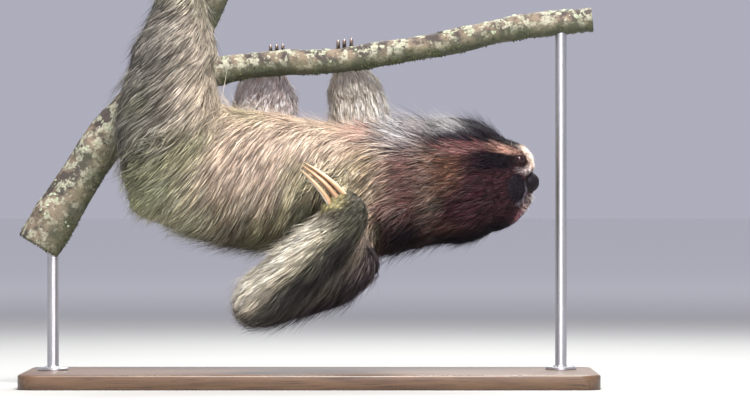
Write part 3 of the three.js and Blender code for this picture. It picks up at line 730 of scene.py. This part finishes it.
# ---- Bristles --------------------------------------------------------------------------------------
# Stiff pale hairs that stand out round the mouth, on the chin and over the eyes. Each is a bent, tapering
# hair set in the hide, and they are scattered by how densely each part of the face grows them.
class Grower:
    """A Geometry Nodes tree with named inputs, built up by node() and closed by grow()."""

    def __init__(self, name, **inputs):
        self.tree = bpy.data.node_groups.new(name, "GeometryNodeTree")
        self.tree.interface.new_socket("Geometry", in_out="INPUT", socket_type="NodeSocketGeometry")
        self.tree.interface.new_socket("Geometry", in_out="OUTPUT", socket_type="NodeSocketGeometry")
        self.values = inputs
        self.keys = {key: self.tree.interface.new_socket(key, in_out="INPUT", socket_type="NodeSocketFloat")
                     for key in inputs}
        self.start = self.tree.nodes.new("NodeGroupInput")

    def given(self, name):
        """The socket of a named input."""
        return self.start.outputs[name]

    def node(self, kind, settings=(), inputs=(), output=0):
        """A node with these settings, values and links: its named output, or all of them for None."""
        made = self.tree.nodes.new(kind)
        for key, value in dict(settings).items():
            setattr(made, key, value)
        for key, value in dict(inputs).items():
            if isinstance(value, bpy.types.NodeSocket):
                self.tree.links.new(value, made.inputs[key])
            else:
                made.inputs[key].default_value = value
        return made.outputs if output is None else made.outputs[output]

    def math(self, operation, one, other, kind="ShaderNodeMath"):
        return self.node(kind, {"operation": operation}, {0: one, 1: other})

    def attribute(self, name, kind="FLOAT"):
        settings = {"data_type": kind}
        return self.node("GeometryNodeInputNamedAttribute", settings, {"Name": name}, "Attribute")

    def random(self, low, high, seed, kind="FLOAT"):
        number = kind == "FLOAT"
        inputs = {2 if number else 0: low, 3 if number else 1: high, "Seed": seed}
        return self.node("FunctionNodeRandomValue", {"data_type": kind}, inputs, int(number))

    def grow(self, name, instances, material, mesh):
        """The tree's result on a copy of this mesh, as an object with a plain mesh."""
        real = self.node("GeometryNodeRealizeInstances", (), {"Geometry": instances})
        dressed = self.node("GeometryNodeSetMaterial", (), {"Geometry": real, "Material": material})
        end = self.tree.nodes.new("NodeGroupOutput")
        self.tree.links.new(dressed, end.inputs["Geometry"])
        bed = bpy.data.objects.new(f"{name}_bed", mesh)
        bpy.context.scene.collection.objects.link(bed)
        grower = bed.modifiers.new(name, "NODES")
        grower.node_group = self.tree
        for key, value in self.values.items():
            grower[self.keys[key].identifier] = value
        made = bpy.data.objects.new(name, bpy.data.meshes.new_from_object(
            bed.evaluated_get(bpy.context.evaluated_depsgraph_get())))
        made.data.name = name
        bed.modifiers.remove(grower)
        bpy.data.objects.remove(bed)
        bpy.context.scene.collection.objects.link(made)
        return made


bristle_look = Shader("bristle", Roughness=0.4, Specular_IOR_Level=0.4)
tone = bristle_look.noise(bristle_look.place(), 260, 2).between(0.5, 0.6)
bristle_look.set("Base Color", bristle_look.mix((0.58, 0.52, 0.48), (0.10, 0.06, 0.06), tone))
growth = 1.0 * near(262, 9, 224, 6) + 0.5 * near(254, 12, 216, 7) + 0.4 * near(259, 13, 231, 4)
growth = growth * (1 - pad) + 0.06 * near(243, 24, 284, 5)
standing = unit(0.55 * out + 0.5 * lie + [0.45, 0, 0.15])
bed_mesh = skin.data.copy()
bed_mesh.attributes.new("growth", "FLOAT", "POINT").data.foreach_set("value", growth.astype(np.float32))
bed_mesh.attributes.new("standing", "FLOAT_VECTOR", "POINT").data.foreach_set(
    "vector", standing.astype(np.float32).ravel())
g = Grower("bristles", Density=620000.0, Length=0.0058, Radius=0.00010)
bed_points = g.node("GeometryNodeDistributePointsOnFaces", (),
                    {"Mesh": g.given("Geometry"), "Seed": 5,
                     "Density": g.math("MULTIPLY", g.attribute("growth"), g.given("Density"))}, "Points")
tip = g.node("ShaderNodeCombineXYZ", (), {"Z": g.given("Length"), "X": 0.0014})
middle = g.node("ShaderNodeCombineXYZ", (), {"Z": 0.003, "X": -0.0003})
hair = g.node("GeometryNodeCurveQuadraticBezier", (),
              {"Resolution": 5, "Start": (0, 0, 0), "Middle": middle, "End": tip})
along_hair = g.node("GeometryNodeSplineParameter", output="Factor")
thin = g.node("ShaderNodeMapRange", (), {"Value": along_hair, "To Min": 1.0, "To Max": 0.25})
hair = g.node("GeometryNodeSetCurveRadius", (), {"Curve": hair, "Radius": thin})
section = g.node("GeometryNodeCurvePrimitiveCircle", (), {"Resolution": 4, "Radius": g.given("Radius")})
hair = g.node("GeometryNodeCurveToMesh", (), {"Curve": hair, "Profile Curve": section, "Fill Caps": True})
upright = g.node("FunctionNodeAlignRotationToVector", {"axis": "Z"},
                 {"Vector": g.attribute("standing", "FLOAT_VECTOR")})
spun = g.node("FunctionNodeRotateRotation", {"rotation_space": "LOCAL"},
              {0: upright, 1: g.random((-0.3, -0.3, 0), (0.3, 0.3, 6.28), 6, "FLOAT_VECTOR")})
scattered = g.node("GeometryNodeInstanceOnPoints", (), {
    "Points": bed_points, "Instance": hair, "Rotation": spun, "Scale": g.random(0.5, 1.25, 7)})
bristles = g.grow("face_bristles", scattered, bristle_look.material, bed_mesh)
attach(bristles, "root")

# ---- Eyes ------------------------------------------------------------------------------------------
# Small wet brown-black eyes set forward under the pale brow, each a ball that bulges a little in front,
# with an iris so dark that it hardly shows from the pupil. They sit in the lids formed on the hide.
eye_look = Shader("eye", Roughness=0.18, Specular_IOR_Level=0.14, Coat_Weight=0.25, Coat_Roughness=0.04)
depths = eye_look.noise(eye_look.place(), 700, 2)
eye_look.set("Base Color", eye_look.ramp(depths, [
    (0.35, (0.006, 0.002, 0.003)), (0.7, (0.024, 0.007, 0.009))]))


def closed_stack(rings, sides):
    """Faces over rings of points, closed at both ends by fans to the two points that come after them."""
    bands = ring_bands(rings, sides)
    first = np.arange(sides)
    last = first + (rings - 1) * sides
    fans = [np.stack([np.full(sides, rings * sides), first, np.roll(first, -1)], 1),
            np.stack([np.full(sides, rings * sides + 1), np.roll(last, -1), last], 1)]
    return np.concatenate([bands[:, [0, 1, 2]], bands[:, [0, 2, 3]], *fans])


def ball(centre, radii, gaze, bulge, rings=20, sides=28):
    """Points and faces of a ball with its pole along the gaze and a shallow bulge there."""
    gaze = unit(np.array(gaze))
    across = unit(np.cross(gaze, [0, 0, 1]))
    above = np.cross(across, gaze)
    polar, turn = np.meshgrid(np.linspace(0, math.pi, rings + 1)[1:-1], around(sides), indexing="ij")
    reach = 1 + bulge * np.exp(-(polar / 0.55) ** 2)
    local = np.stack([np.cos(polar), np.sin(polar) * np.cos(turn), np.sin(polar) * np.sin(turn)], -1)
    local = (local * reach[..., None]).reshape(-1, 3)
    local = np.concatenate([local, [[1 + bulge, 0, 0], [-1, 0, 0]]]) * radii
    points = centre + (local @ np.array([gaze, across, above])) / 1000
    return points, closed_stack(rings - 1, sides)


for name, side in (("right_eye", -1), ("left_eye", 1)):
    centre = sum(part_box(name), Vector()) / 2
    points, faces = ball(np.array(centre), [EYE_RADIUS - 0.2] * 3, np.array(GAZE) * [1, side, 1], 0.05)
    seen = mesh_object(f"{name}_wet", points, faces, eye_look.material)
    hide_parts(name)
    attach(seen, "root")

# ---- Nose ------------------------------------------------------------------------------------------
# The bare black pad at the tip of the muzzle, broad above and narrow below, with two round nostrils and
# a shallow groove between them. The skin on it is damp, with a fine pebbled grain.
nose_look = Shader("nose_skin", Roughness=0.5, Specular_IOR_Level=0.12)
cells = {"Vector": nose_look.place(), "Scale": 1100}
pebbles = nose_look.node("ShaderNodeTexVoronoi", (), cells, "Distance")
nose_look.set("Base Color", nose_look.mix((0.004, 0.003, 0.005), (0.014, 0.010, 0.014),
                                          pebbles.between(0.2, 0.9)))
nose_look.bump(pebbles, 0.0003, 0.35)
points, faces = ball(body(*NOSE), np.array(NOSE_RADII) + 0.2, (1, 0, 0), 0, rings=44, sides=56)
px, py, pz = (points - body(*NOSE)).T * 1000
taper = np.where(pz < 0, 1 + pz * 0.022, 1)
groove = 1.1 * np.exp(-(py / 1.3) ** 2) * step(4, 10, px) * step(5, -2, pz)
holes = 3.0 * np.exp(-(((np.abs(py) - 5.2) / 2.1) ** 2 + ((pz - 0.4) / 1.9) ** 2)) * step(3, 8, px)
wings = 0.7 * np.exp(-(((np.abs(py) - 8.6) / 2.2) ** 2 + ((pz - 1) / 3.4) ** 2)) * step(0, 5, px)
points = body(*NOSE) + np.stack([px - groove - holes + wings, py * taper, pz], 1) / 1000
nose_pad = mesh_object("nose_pad", points, faces, nose_look.material)
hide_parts("nose")
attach(nose_pad, "root")

# ---- Perch -----------------------------------------------------------------------------------------
# A cut length of living branch: a leaning stem and the side branch that grows from it with a swollen
# collar. The bark is thin and grey, blotched with lichen, knotted where twigs fell, and sawn at the ends.
STEM = [(-330, 56, 169), (-251, 64, 294), (-186, 72, 370), (-135, 76, 446), (-108, 74, 504),
        (-91, 68, 550), (-82, 64, 588)]
BRANCH = [(-150, 76, 375), (-135, 76, 377), (-86, 80, 386), (-44, 80, 391), (23, 80, 393), (90, 80, 403),
          (153, 80, 413), (251, 80, 434), (342, 80, 444)]


def smooth_course(points, count):
    """Evenly spaced points, in metres, on a curve through these, in millimetres, and its directions."""
    points = np.array(points, float)
    points = np.concatenate([[2 * points[0] - points[1]], points, [2 * points[-1] - points[-2]]])
    knots = np.concatenate([[0], np.cumsum(np.linalg.norm(np.diff(points, axis=0), axis=1) ** 0.5)])
    made = []
    for i in range(1, len(points) - 2):
        t0, t1, t2, t3 = knots[i - 1:i + 3]
        p0, p1, p2, p3 = points[i - 1:i + 3]
        for t in np.linspace(t1, t2, 60, endpoint=False):
            a1 = (t1 - t) / (t1 - t0) * p0 + (t - t0) / (t1 - t0) * p1
            a2 = (t2 - t) / (t2 - t1) * p1 + (t - t1) / (t2 - t1) * p2
            a3 = (t3 - t) / (t3 - t2) * p2 + (t - t2) / (t3 - t2) * p3
            b1 = (t2 - t) / (t2 - t0) * a1 + (t - t0) / (t2 - t0) * a2
            b2 = (t3 - t) / (t3 - t1) * a2 + (t - t1) / (t3 - t1) * a3
            made.append((t2 - t) / (t2 - t1) * b1 + (t - t1) / (t2 - t1) * b2)
    made = np.array([*made, points[-2]])
    run = np.concatenate([[0], np.cumsum(np.linalg.norm(np.diff(made, axis=0), axis=1))])
    even = np.stack([np.interp(np.linspace(0, run[-1], count), run, c) for c in made.T], 1)
    return even / 1000 + [0, BODY_PLANE, 0], unit(np.gradient(even, axis=0))


def tube(course, ahead, wide, deep, sideways, sides):
    """Points and faces of a closed tube with these widths and depths, in metres, along a course."""
    across = unit(np.array(sideways) - ahead * (ahead @ np.array(sideways))[:, None])
    square = np.cross(across, ahead)
    turn = around(sides)
    ring = (np.cos(turn)[None, :, None] * across[:, None] * (wide / 2)[..., None]
            + np.sin(turn)[None, :, None] * square[:, None] * (deep / 2)[..., None])
    points = (course[:, None] + ring).reshape(-1, 3)
    return np.concatenate([points, course[:1], course[-1:]]), closed_stack(len(course), sides)


bark = Shader("bark", Roughness=0.85)
blotch = bark.noise(bark.place(), 38, 5, 0.6)
fine = bark.noise(bark.place(), 320, 6, 0.65)
crust = bark.noise(bark.place((1, 1, 1), (0.4, 0.2, 0)), 75, 5, 0.7)
normal = bark.node("ShaderNodeNewGeometry", output="Normal")
above = bark.node("ShaderNodeSeparateXYZ", (), {"Vector": normal}, "Z").between(-0.6, 0.5)
wood = bark.mix((0.155, 0.118, 0.083), (0.036, 0.027, 0.024), blotch.between(0.40, 0.56))
wood = bark.mix(wood, (0.060, 0.070, 0.036), (1 - above) * 0.8)
pale = bark.mix((0.36, 0.345, 0.28), (0.19, 0.205, 0.13), fine.between(0.35, 0.65))
wood = bark.mix(wood, pale, crust.between(0.50, 0.57) * (0.1 + above * 0.8))
wood = bark.mix(wood, (0.02, 0.016, 0.015), fine.between(0.56, 0.68) * 0.8)
bark.set("Base Color", wood)
bark.bump(fine * 0.5 + crust * 0.5 + blotch, 0.0022, 0.7)

end_grain = Shader("sawn_wood", Roughness=0.7)
rings_of_growth = end_grain.noise(end_grain.place(), 160, 3)
end_grain.set("Base Color", end_grain.mix((0.55, 0.40, 0.25), (0.36, 0.24, 0.14), rings_of_growth))
end_grain.bump(rings_of_growth, 0.0005, 0.4)


def limb_of_wood(name, course, radius, knots, sides, count):
    """A tube of bark with low ridges and knots. A knot is a place, its breadth and its height."""
    centre, ahead = smooth_course(course, count)
    t = np.linspace(0, 1, count)
    wide = np.repeat(2 * radius(t)[:, None], sides, 1) / 1000
    points, faces = tube(centre, ahead, wide, wide, (0, 1, 0), sides)
    spot = points[:-2]
    outward = unit(spot - np.repeat(centre, sides, 0))
    relief = -1.3 * noise(spot, 0.016, 5) - 0.9 * noise(spot, 0.006, 6)
    for *place, breadth, height in knots:
        gap = np.linalg.norm(spot - body(*place), axis=1) * 1000 / breadth
        relief += height * (np.exp(-gap ** 2) - 0.6 * np.exp(-(gap / 0.4) ** 2))
    points[:-2] = spot + outward * relief[:, None] / 1000
    made = mesh_object(f"{name}_bark", points, faces, bark.material)
    made.data.materials.append(end_grain.material)
    sawn = np.arange(len(faces)) >= len(faces) - 2 * sides
    made.data.polygons.foreach_set("material_index", sawn.astype(np.int32))
    made.data.attributes.new("sharp_face", "BOOLEAN", "FACE").data.foreach_set("value", sawn)
    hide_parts(name)
    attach(made, "root")


# The stem narrows upwards, the branch leaves it in a collar, and both waver a little in girth.
limb_of_wood("perch_stem", STEM, lambda t: 28 - 6 * t + np.sin(23 * t),
             [(-272, 44, 288, 11, 6), (-322, 44, 212, 12, 6), (-150, 92, 440, 9, 5)], 72, 210)
limb_of_wood("perch_branch", BRANCH, lambda t: 16 * (1 + 0.35 * np.exp(-11 * t)) + 0.6 * np.sin(31 * t),
             [(120, 64, 412, 7, 4), (215, 92, 436, 6, 4), (-10, 95, 400, 5, 3)], 56, 230)

# ---- Lichen and moss -------------------------------------------------------------------------------
# What grows on the bark: flat crusts of grey lichen on the upper side, each a ruffled lobe a few
# millimetres across, and short sprigs of moss in patches on the damp side underneath.
crust_look = Shader("lichen", Roughness=0.9, Specular_IOR_Level=0.2)
flecks = crust_look.noise(crust_look.place(), 420, 4)
crust_look.set("Base Color", crust_look.ramp(flecks, [
    (0.35, (0.30, 0.32, 0.25)), (0.5, (0.20, 0.24, 0.15)), (0.65, (0.38, 0.38, 0.31))]))
crust_look.bump(flecks, 0.0006, 0.6)
moss_look = Shader("moss", Roughness=0.9, Specular_IOR_Level=0.2)
sprigs = moss_look.noise(moss_look.place(), 300, 2).between(0.4, 0.65)
moss_look.set("Base Color", moss_look.mix((0.030, 0.042, 0.014), (0.11, 0.13, 0.045), sprigs))


def lichen_lobe(g):
    """A flat lobe with a ruffled edge."""
    lobe = g.node("GeometryNodeMeshIcoSphere", (), {"Radius": g.given("Size"), "Subdivisions": 2}, "Mesh")
    here = g.node("GeometryNodeInputPosition")
    ruffle = g.node("ShaderNodeTexNoise", (), {"Vector": here, "Scale": 640.0, "Detail": 1.0}, "Color")
    ruffle = g.math("SUBTRACT", ruffle, (0.5, 0.5, 0.5), "ShaderNodeVectorMath")
    ruffle = g.math("MULTIPLY", ruffle, (0.0045, 0.0045, 0.0008), "ShaderNodeVectorMath")
    lobe = g.node("GeometryNodeSetPosition", (), {"Geometry": lobe, "Offset": ruffle})
    return g.node("GeometryNodeTransform", (), {"Geometry": lobe, "Scale": (1, 1, 0.16)})


def moss_sprig(g):
    """A short pointed sprig with its foot on the bark."""
    return g.node("GeometryNodeMeshCone", {"fill_type": "TRIANGLE_FAN"},
                  {"Vertices": 4, "Radius Top": 0.0001, "Radius Bottom": 0.0006, "Depth": g.given("Height")},
                  "Mesh")


def on_bark(g, low, high, size, share):
    """1 where the bark faces up, for low under high, or down, in patches of this size over a share of it."""
    normal = g.node("GeometryNodeInputNormal", output="Normal")
    upward = g.node("ShaderNodeSeparateXYZ", (), {"Vector": normal}, "Z")
    side = g.node("ShaderNodeMapRange", {"interpolation_type": "SMOOTHSTEP", "clamp": True},
                  {"Value": upward, "From Min": low, "From Max": high})
    field = g.node("ShaderNodeTexNoise", (), {"Scale": 1 / size, "Detail": 2.0}, "Fac")
    patches = g.node("ShaderNodeMapRange", {"clamp": True},
                     {"Value": field, "From Min": 0.62 - 0.24 * share, "From Max": 0.66 - 0.24 * share})
    return g.math("MULTIPLY", side, patches)


def bark_growth(limb, kind, look, piece, patch, seed, **sizes):
    """One kind of growth scattered over a limb's bark."""
    g = Grower(f"{limb}_{kind}", **sizes)
    density = g.math("MULTIPLY", on_bark(g, *patch), g.given("Density"))
    bed = g.node("GeometryNodeDistributePointsOnFaces", (),
                 {"Mesh": g.given("Geometry"), "Density": density, "Seed": seed}, None)
    turned_by = g.random((-0.35, -0.35, 0), (0.35, 0.35, 6.28), seed + 1, "FLOAT_VECTOR")
    spun = g.node("FunctionNodeRotateRotation", {"rotation_space": "LOCAL"},
                  {0: bed["Rotation"], 1: turned_by})
    scattered = g.node("GeometryNodeInstanceOnPoints", (), {
        "Points": bed["Points"], "Instance": piece(g), "Rotation": spun,
        "Scale": g.random(0.4, 1.5, seed + 2)})
    bark_mesh = bpy.data.objects[f"{limb}_bark"].data.copy()
    growth = g.grow(f"{limb}_{kind}", scattered, look.material, bark_mesh)
    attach(growth, "root")


for limb in ("perch_stem", "perch_branch"):
    bark_growth(limb, "lichen", crust_look, lichen_lobe, (-0.5, 0.4, 0.03, 0.35), 21,
                Density=16000.0, Size=0.0019)
    bark_growth(limb, "moss", moss_look, moss_sprig, (0.1, -0.7, 0.02, 0.6), 31,
                Density=90000.0, Height=0.0016)

# ---- Claws -----------------------------------------------------------------------------------------
# Three long curved horn claws on each limb, oval in section and deepest on the outer curve, growing
# from the flesh and drawn out to a blunt point. Nine hook over the perch and three hang free.
horn = Shader("horn", Roughness=0.36, Specular_IOR_Level=0.5, Coat_Weight=0.15, Coat_Roughness=0.3)
lengthways = horn.node("ShaderNodeAttribute", {"attribute_name": "grain"}, output="Vector")
drawn_out = horn.node("ShaderNodeMapping", (), {"Vector": lengthways, "Scale": (5, 1.2, 1)})
streak = horn.noise(drawn_out, 1.0, 4, 0.7)
horn_colour = horn.ramp(streak, [
    (0.30, (0.70, 0.55, 0.36)), (0.42, (0.50, 0.29, 0.14)), (0.47, (0.16, 0.07, 0.04)),
    (0.53, (0.48, 0.27, 0.12)), (0.68, (0.72, 0.56, 0.38))])
# Pale cream down the outer flanks of the outside claws: partly the horn's own pale edge, partly a painted
# highlight.
edge = horn.node("ShaderNodeAttribute", {"attribute_name": "edge"}, output="Fac")
horn_colour = horn.mix(horn_colour, (0.88, 0.83, 0.72), edge)
# Darker horn: a dark brown stain on the hooked claws, and painted shade between the free claws.
stain = horn.node("ShaderNodeAttribute", {"attribute_name": "stain"}, output="Fac")
horn.set("Base Color", horn.mix(horn_colour, (0.055, 0.028, 0.024), stain))
horn.bump(streak, 0.0006, 0.6)


def arc_round(middle, first, second, degrees, reach, count=28):
    """Points of a hook about a point of the perch: an arc from one direction to another that tightens."""
    t = np.linspace(0, 1, count)
    angle = np.radians(degrees[0] + (degrees[1] - degrees[0]) * t)
    radius = reach[0] + (reach[1] - reach[0]) * t
    return (np.array(middle) + np.cos(angle)[:, None] * radius[:, None] * np.array(first)
            + np.sin(angle)[:, None] * radius[:, None] * np.array(second))


CLAW_STEPS, CLAW_SIDES = 46, 26


def claw(name, course, sideways, width, depth, fall=0.2, lost=0.58):
    """One claw along a course, in millimetres. Fall and lost say how it thins halfway and at the tip."""
    centre, ahead = smooth_course(course, CLAW_STEPS)
    t = np.linspace(0, 1, CLAW_STEPS)[:, None]
    taper = (1 - fall * t - (lost - fall) * t ** 3) * np.sqrt(np.clip(1.02 - t ** 14, 0, 1))
    turn = around(CLAW_SIDES)
    flank = np.cos(turn)        # 1 on one flank of the claw, -1 on the other
    taper = taper * (1 - 0.10 * np.abs(flank) ** 3) / 1000
    points, faces = tube(centre, ahead, taper * width, taper * depth, sideways, CLAW_SIDES)
    made = mesh_object(f"{name}_horn", points, faces, horn.material)
    grain_at = np.stack([np.tile(flank, CLAW_STEPS), np.repeat(t, CLAW_SIDES),
                         np.tile(np.sin(turn), CLAW_STEPS)], 1)
    grain_at = np.concatenate([grain_at, [[0, 0, 0], [0, 1, 0]]])
    number = int(name[-1])
    inner = {1: -flank, 2: np.abs(flank), 3: flank}[number]     # turned towards its neighbours
    # The hooked claws are stained dark brown all over. The free claws get painted shade on the sides turned
    # towards their neighbours, fading towards the tips.
    stains_and_shade = np.full(len(points), 0.8)
    if name.startswith("left_hand"):
        stains_and_shade[:-2] = (0.85 * step(-0.1, 0.7, inner)[None] * (1 - 0.6 * t)).ravel()
    # The outer flanks of claws 1 and 3: the horn's own pale edge and a painted highlight.
    pale_edge_and_highlight = {1: step(0.55, 0.9, flank), 2: 0 * flank, 3: step(-0.6, -0.95, flank)}[number]
    pale_edge_and_highlight = np.concatenate([np.tile(pale_edge_and_highlight, CLAW_STEPS), [0, 0]])
    data = made.data.attributes
    data.new("grain", "FLOAT_VECTOR", "POINT").data.foreach_set("vector", grain_at.astype(np.float32).ravel())
    data.new("edge", "FLOAT", "POINT").data.foreach_set("value", pale_edge_and_highlight.astype(np.float32))
    data.new("stain", "FLOAT", "POINT").data.foreach_set("value", stains_and_shade.astype(np.float32))
    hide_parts(name)
    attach(made, "root")


def perch_at(course, axis, value):
    """The point of a perch's middle line, in the animal's own millimetres, where a coordinate has a value."""
    centre, _ = smooth_course(course, 400)
    line = (centre - [0, BODY_PLANE, 0]) * 1000
    return line[np.abs(line[:, axis] - value).argmin()]


free_roots = [(48.3, -118, 222.7), (41.8, -120, 216.2), (33.6, -118, 207.6)]
free_tips = [(-6.1, -111, 269.1), (-8.7, -112, 266.2), (-10, -111, 260.8)]
for i, (root, tip) in enumerate(zip(free_roots, free_tips)):
    bowed = (np.array(root) + tip) / 2 + (2.2, -4.5, 2.2)
    claw(f"left_hand_claw_{i + 1}", [root, bowed, tip], (0.66, 0.2, 0.72), 9.1, 11.4, 0.42, 0.80)
OVER, ROUND = ((0, 1, 0), (0, 0, 1)), ((0, -1, 0), (1, 0, 0))
HOOKED = {      # the perch, which coordinate of it, where along it, the hook's plane, its arc and radii
    "right_hand": (BRANCH, 0, (33.2, 41, 48.8), OVER, (-28, 112), (29, 20.5), 6.8, 11),
    "left_foot": (STEM, 2, (524, 534, 544), ROUND, (-20, 100), (31, 27.5), 6.4, 9.5),
    "right_foot": (BRANCH, 0, (-49, -41.5, -34), OVER, (-20, 112), (22, 19.5), 6.4, 9.5),
}
for limb, (perch, axis, places, plane, degrees, reach, width, depth) in HOOKED.items():
    for i, place in enumerate(places):
        hook = arc_round(perch_at(perch, axis, place), *plane, degrees, reach)
        claw(f"{limb}_claw_{i + 1}", hook, np.eye(3)[axis], width, depth)

# ---- Stand -----------------------------------------------------------------------------------------
# A plain museum stand: a dark stained hardwood plate with rounded edges and two brushed steel rods, each
# screwed down through a round flange and let into the perch from below.
stained = Shader("stained_wood", Roughness=0.42, Coat_Weight=0.2, Coat_Roughness=0.25)
boards = stained.place((1.2, 16, 16))
figure = stained.noise(boards, 5, 5, 0.6)
pores = stained.noise(stained.place((6, 220, 220)), 3, 2)
heartwood = stained.ramp(figure, [
    (0.3, (0.075, 0.040, 0.022)), (0.5, (0.125, 0.070, 0.038)), (0.7, (0.055, 0.030, 0.018))])
stained.set("Base Color", stained.mix(heartwood, (0.018, 0.010, 0.007), pores.between(0.56, 0.66) * 0.6))
stained.set("Roughness", 0.36 + pores * 0.18)
stained.bump(pores, 0.0003, 0.3)


def rounded_plate(name, size, corner, edge, material, steps=8):
    """A flat plate with round corners in plan and a rounded upper edge, standing on the floor."""
    turn = np.linspace(0, math.pi / 2, steps)
    plan = []
    for q, (sx, sy) in enumerate(((1, 1), (-1, 1), (-1, -1), (1, -1))):
        plan += [(sx, sy, math.cos(a + q * math.pi / 2), math.sin(a + q * math.pi / 2)) for a in turn]
    plan = np.array(plan)
    levels = [(edge * 0.4, 0), (0, edge * 0.4)]
    levels += [(edge * (1 - math.cos(a)), size[2] - edge + edge * math.sin(a)) for a in turn]
    loops = []
    for inset, z in levels:
        r = corner - inset
        x = plan[:, 0] * (size[0] / 2 - corner) + plan[:, 2] * r
        y = plan[:, 1] * (size[1] / 2 - corner) + plan[:, 3] * r
        loops.append(np.stack([x, y, np.full(len(x), z)], 1))
    points = np.concatenate(loops + [[[0, 0, 0], [0, 0, size[2]]]])
    return mesh_object(name, points, closed_stack(len(levels), len(plan))[:, ::-1], material)


PLATE, PLATE_CORNER, PLATE_EDGE = (0.690, 0.300, 0.018), 0.024, 0.003
plate = rounded_plate("stand_base_board", PLATE, PLATE_CORNER, PLATE_EDGE, stained.material)
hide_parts("stand_base")
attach(plate, "root")

steel = Shader("brushed_steel", Metallic=1.0)
brushing = steel.noise(steel.place((900, 900, 12)), 1, 3)
steel.set("Base Color", steel.mix((0.50, 0.50, 0.51), (0.66, 0.66, 0.67), brushing))
steel.set("Roughness", 0.28 + brushing * 0.16)
steel.bump(brushing, 0.0001, 0.3)


def turned(name, node, x, y, profile, sides=64):
    """A solid of revolution about an upright axis, from pairs of radius and height in millimetres."""
    turn = around(sides)
    loops = [np.stack([r * np.cos(turn), r * np.sin(turn), np.full(sides, float(z))], 1) for r, z in profile]
    points = np.concatenate(loops + [[[0, 0, profile[0][1]], [0, 0, profile[-1][1]]]])
    points = points / 1000 + body(x, y, 0)
    made = mesh_object(name, points, closed_stack(len(profile), sides)[:, ::-1], steel.material)
    crease = made.modifiers.new("crisp edges", "EDGE_SPLIT")
    crease.split_angle = math.radians(40)
    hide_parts(node)
    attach(made, "root")


ROD_FEET = {"left": (-312, 57), "right": (304, 80)}
ROD_TOPS = {"left": 178, "right": 430}
FLANGE_TOP = 22.5
for name, foot in ROD_FEET.items():
    outline = [(18.4, 18.1), (19, 18.6), (19, 20.9), (17.8, 22.1), (8.2, 22.3), (7.2, 23.2), (7, 24.5),
               (7, ROD_TOPS[name] - 1), (6, ROD_TOPS[name])]
    turned(f"stand_rod_{name}_steel", f"stand_rod_{name}", *foot, outline)

# ---- Screws ----------------------------------------------------------------------------------------
# Three slotted steel screws in each flange, evenly spaced round the rod and each driven home at a turn
# of its own.
g = Grower("screws", Ring=0.0132, Head=0.0026)
head_size = {"Vertices": 32, "Radius": g.given("Head"), "Depth": 0.0012}
screw_head = g.node("GeometryNodeMeshCylinder", (), head_size, "Mesh")
blade = g.node("GeometryNodeMeshCube", (), {"Size": (0.007, 0.0007, 0.0008)}, "Mesh")
blade = g.node("GeometryNodeTransform", (), {"Geometry": blade, "Translation": (0, 0, 0.0006)})
slotted = g.node("GeometryNodeMeshBoolean", {"operation": "DIFFERENCE"},
                 {"Mesh 1": screw_head, "Mesh 2": blade}, "Mesh")
circle = g.node("GeometryNodeMeshCircle", (), {"Vertices": 3, "Radius": g.given("Ring")}, "Mesh")
driven_home = g.random((0, 0, 0), (0, 0, 6.28), 3, "FLOAT_VECTOR")
flange = g.node("GeometryNodeInstanceOnPoints", (),
                {"Points": circle, "Instance": slotted, "Rotation": driven_home})
both_flanges = g.node("GeometryNodeInstanceOnPoints", (), {"Points": g.given("Geometry"), "Instance": flange})
flange_tops = bpy.data.meshes.new("flange_tops")
flange_tops.from_pydata([tuple(body(*foot, FLANGE_TOP)) for foot in ROD_FEET.values()], [], [])
screws = g.grow("stand_screws", both_flanges, steel.material, flange_tops)
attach(screws, "root")
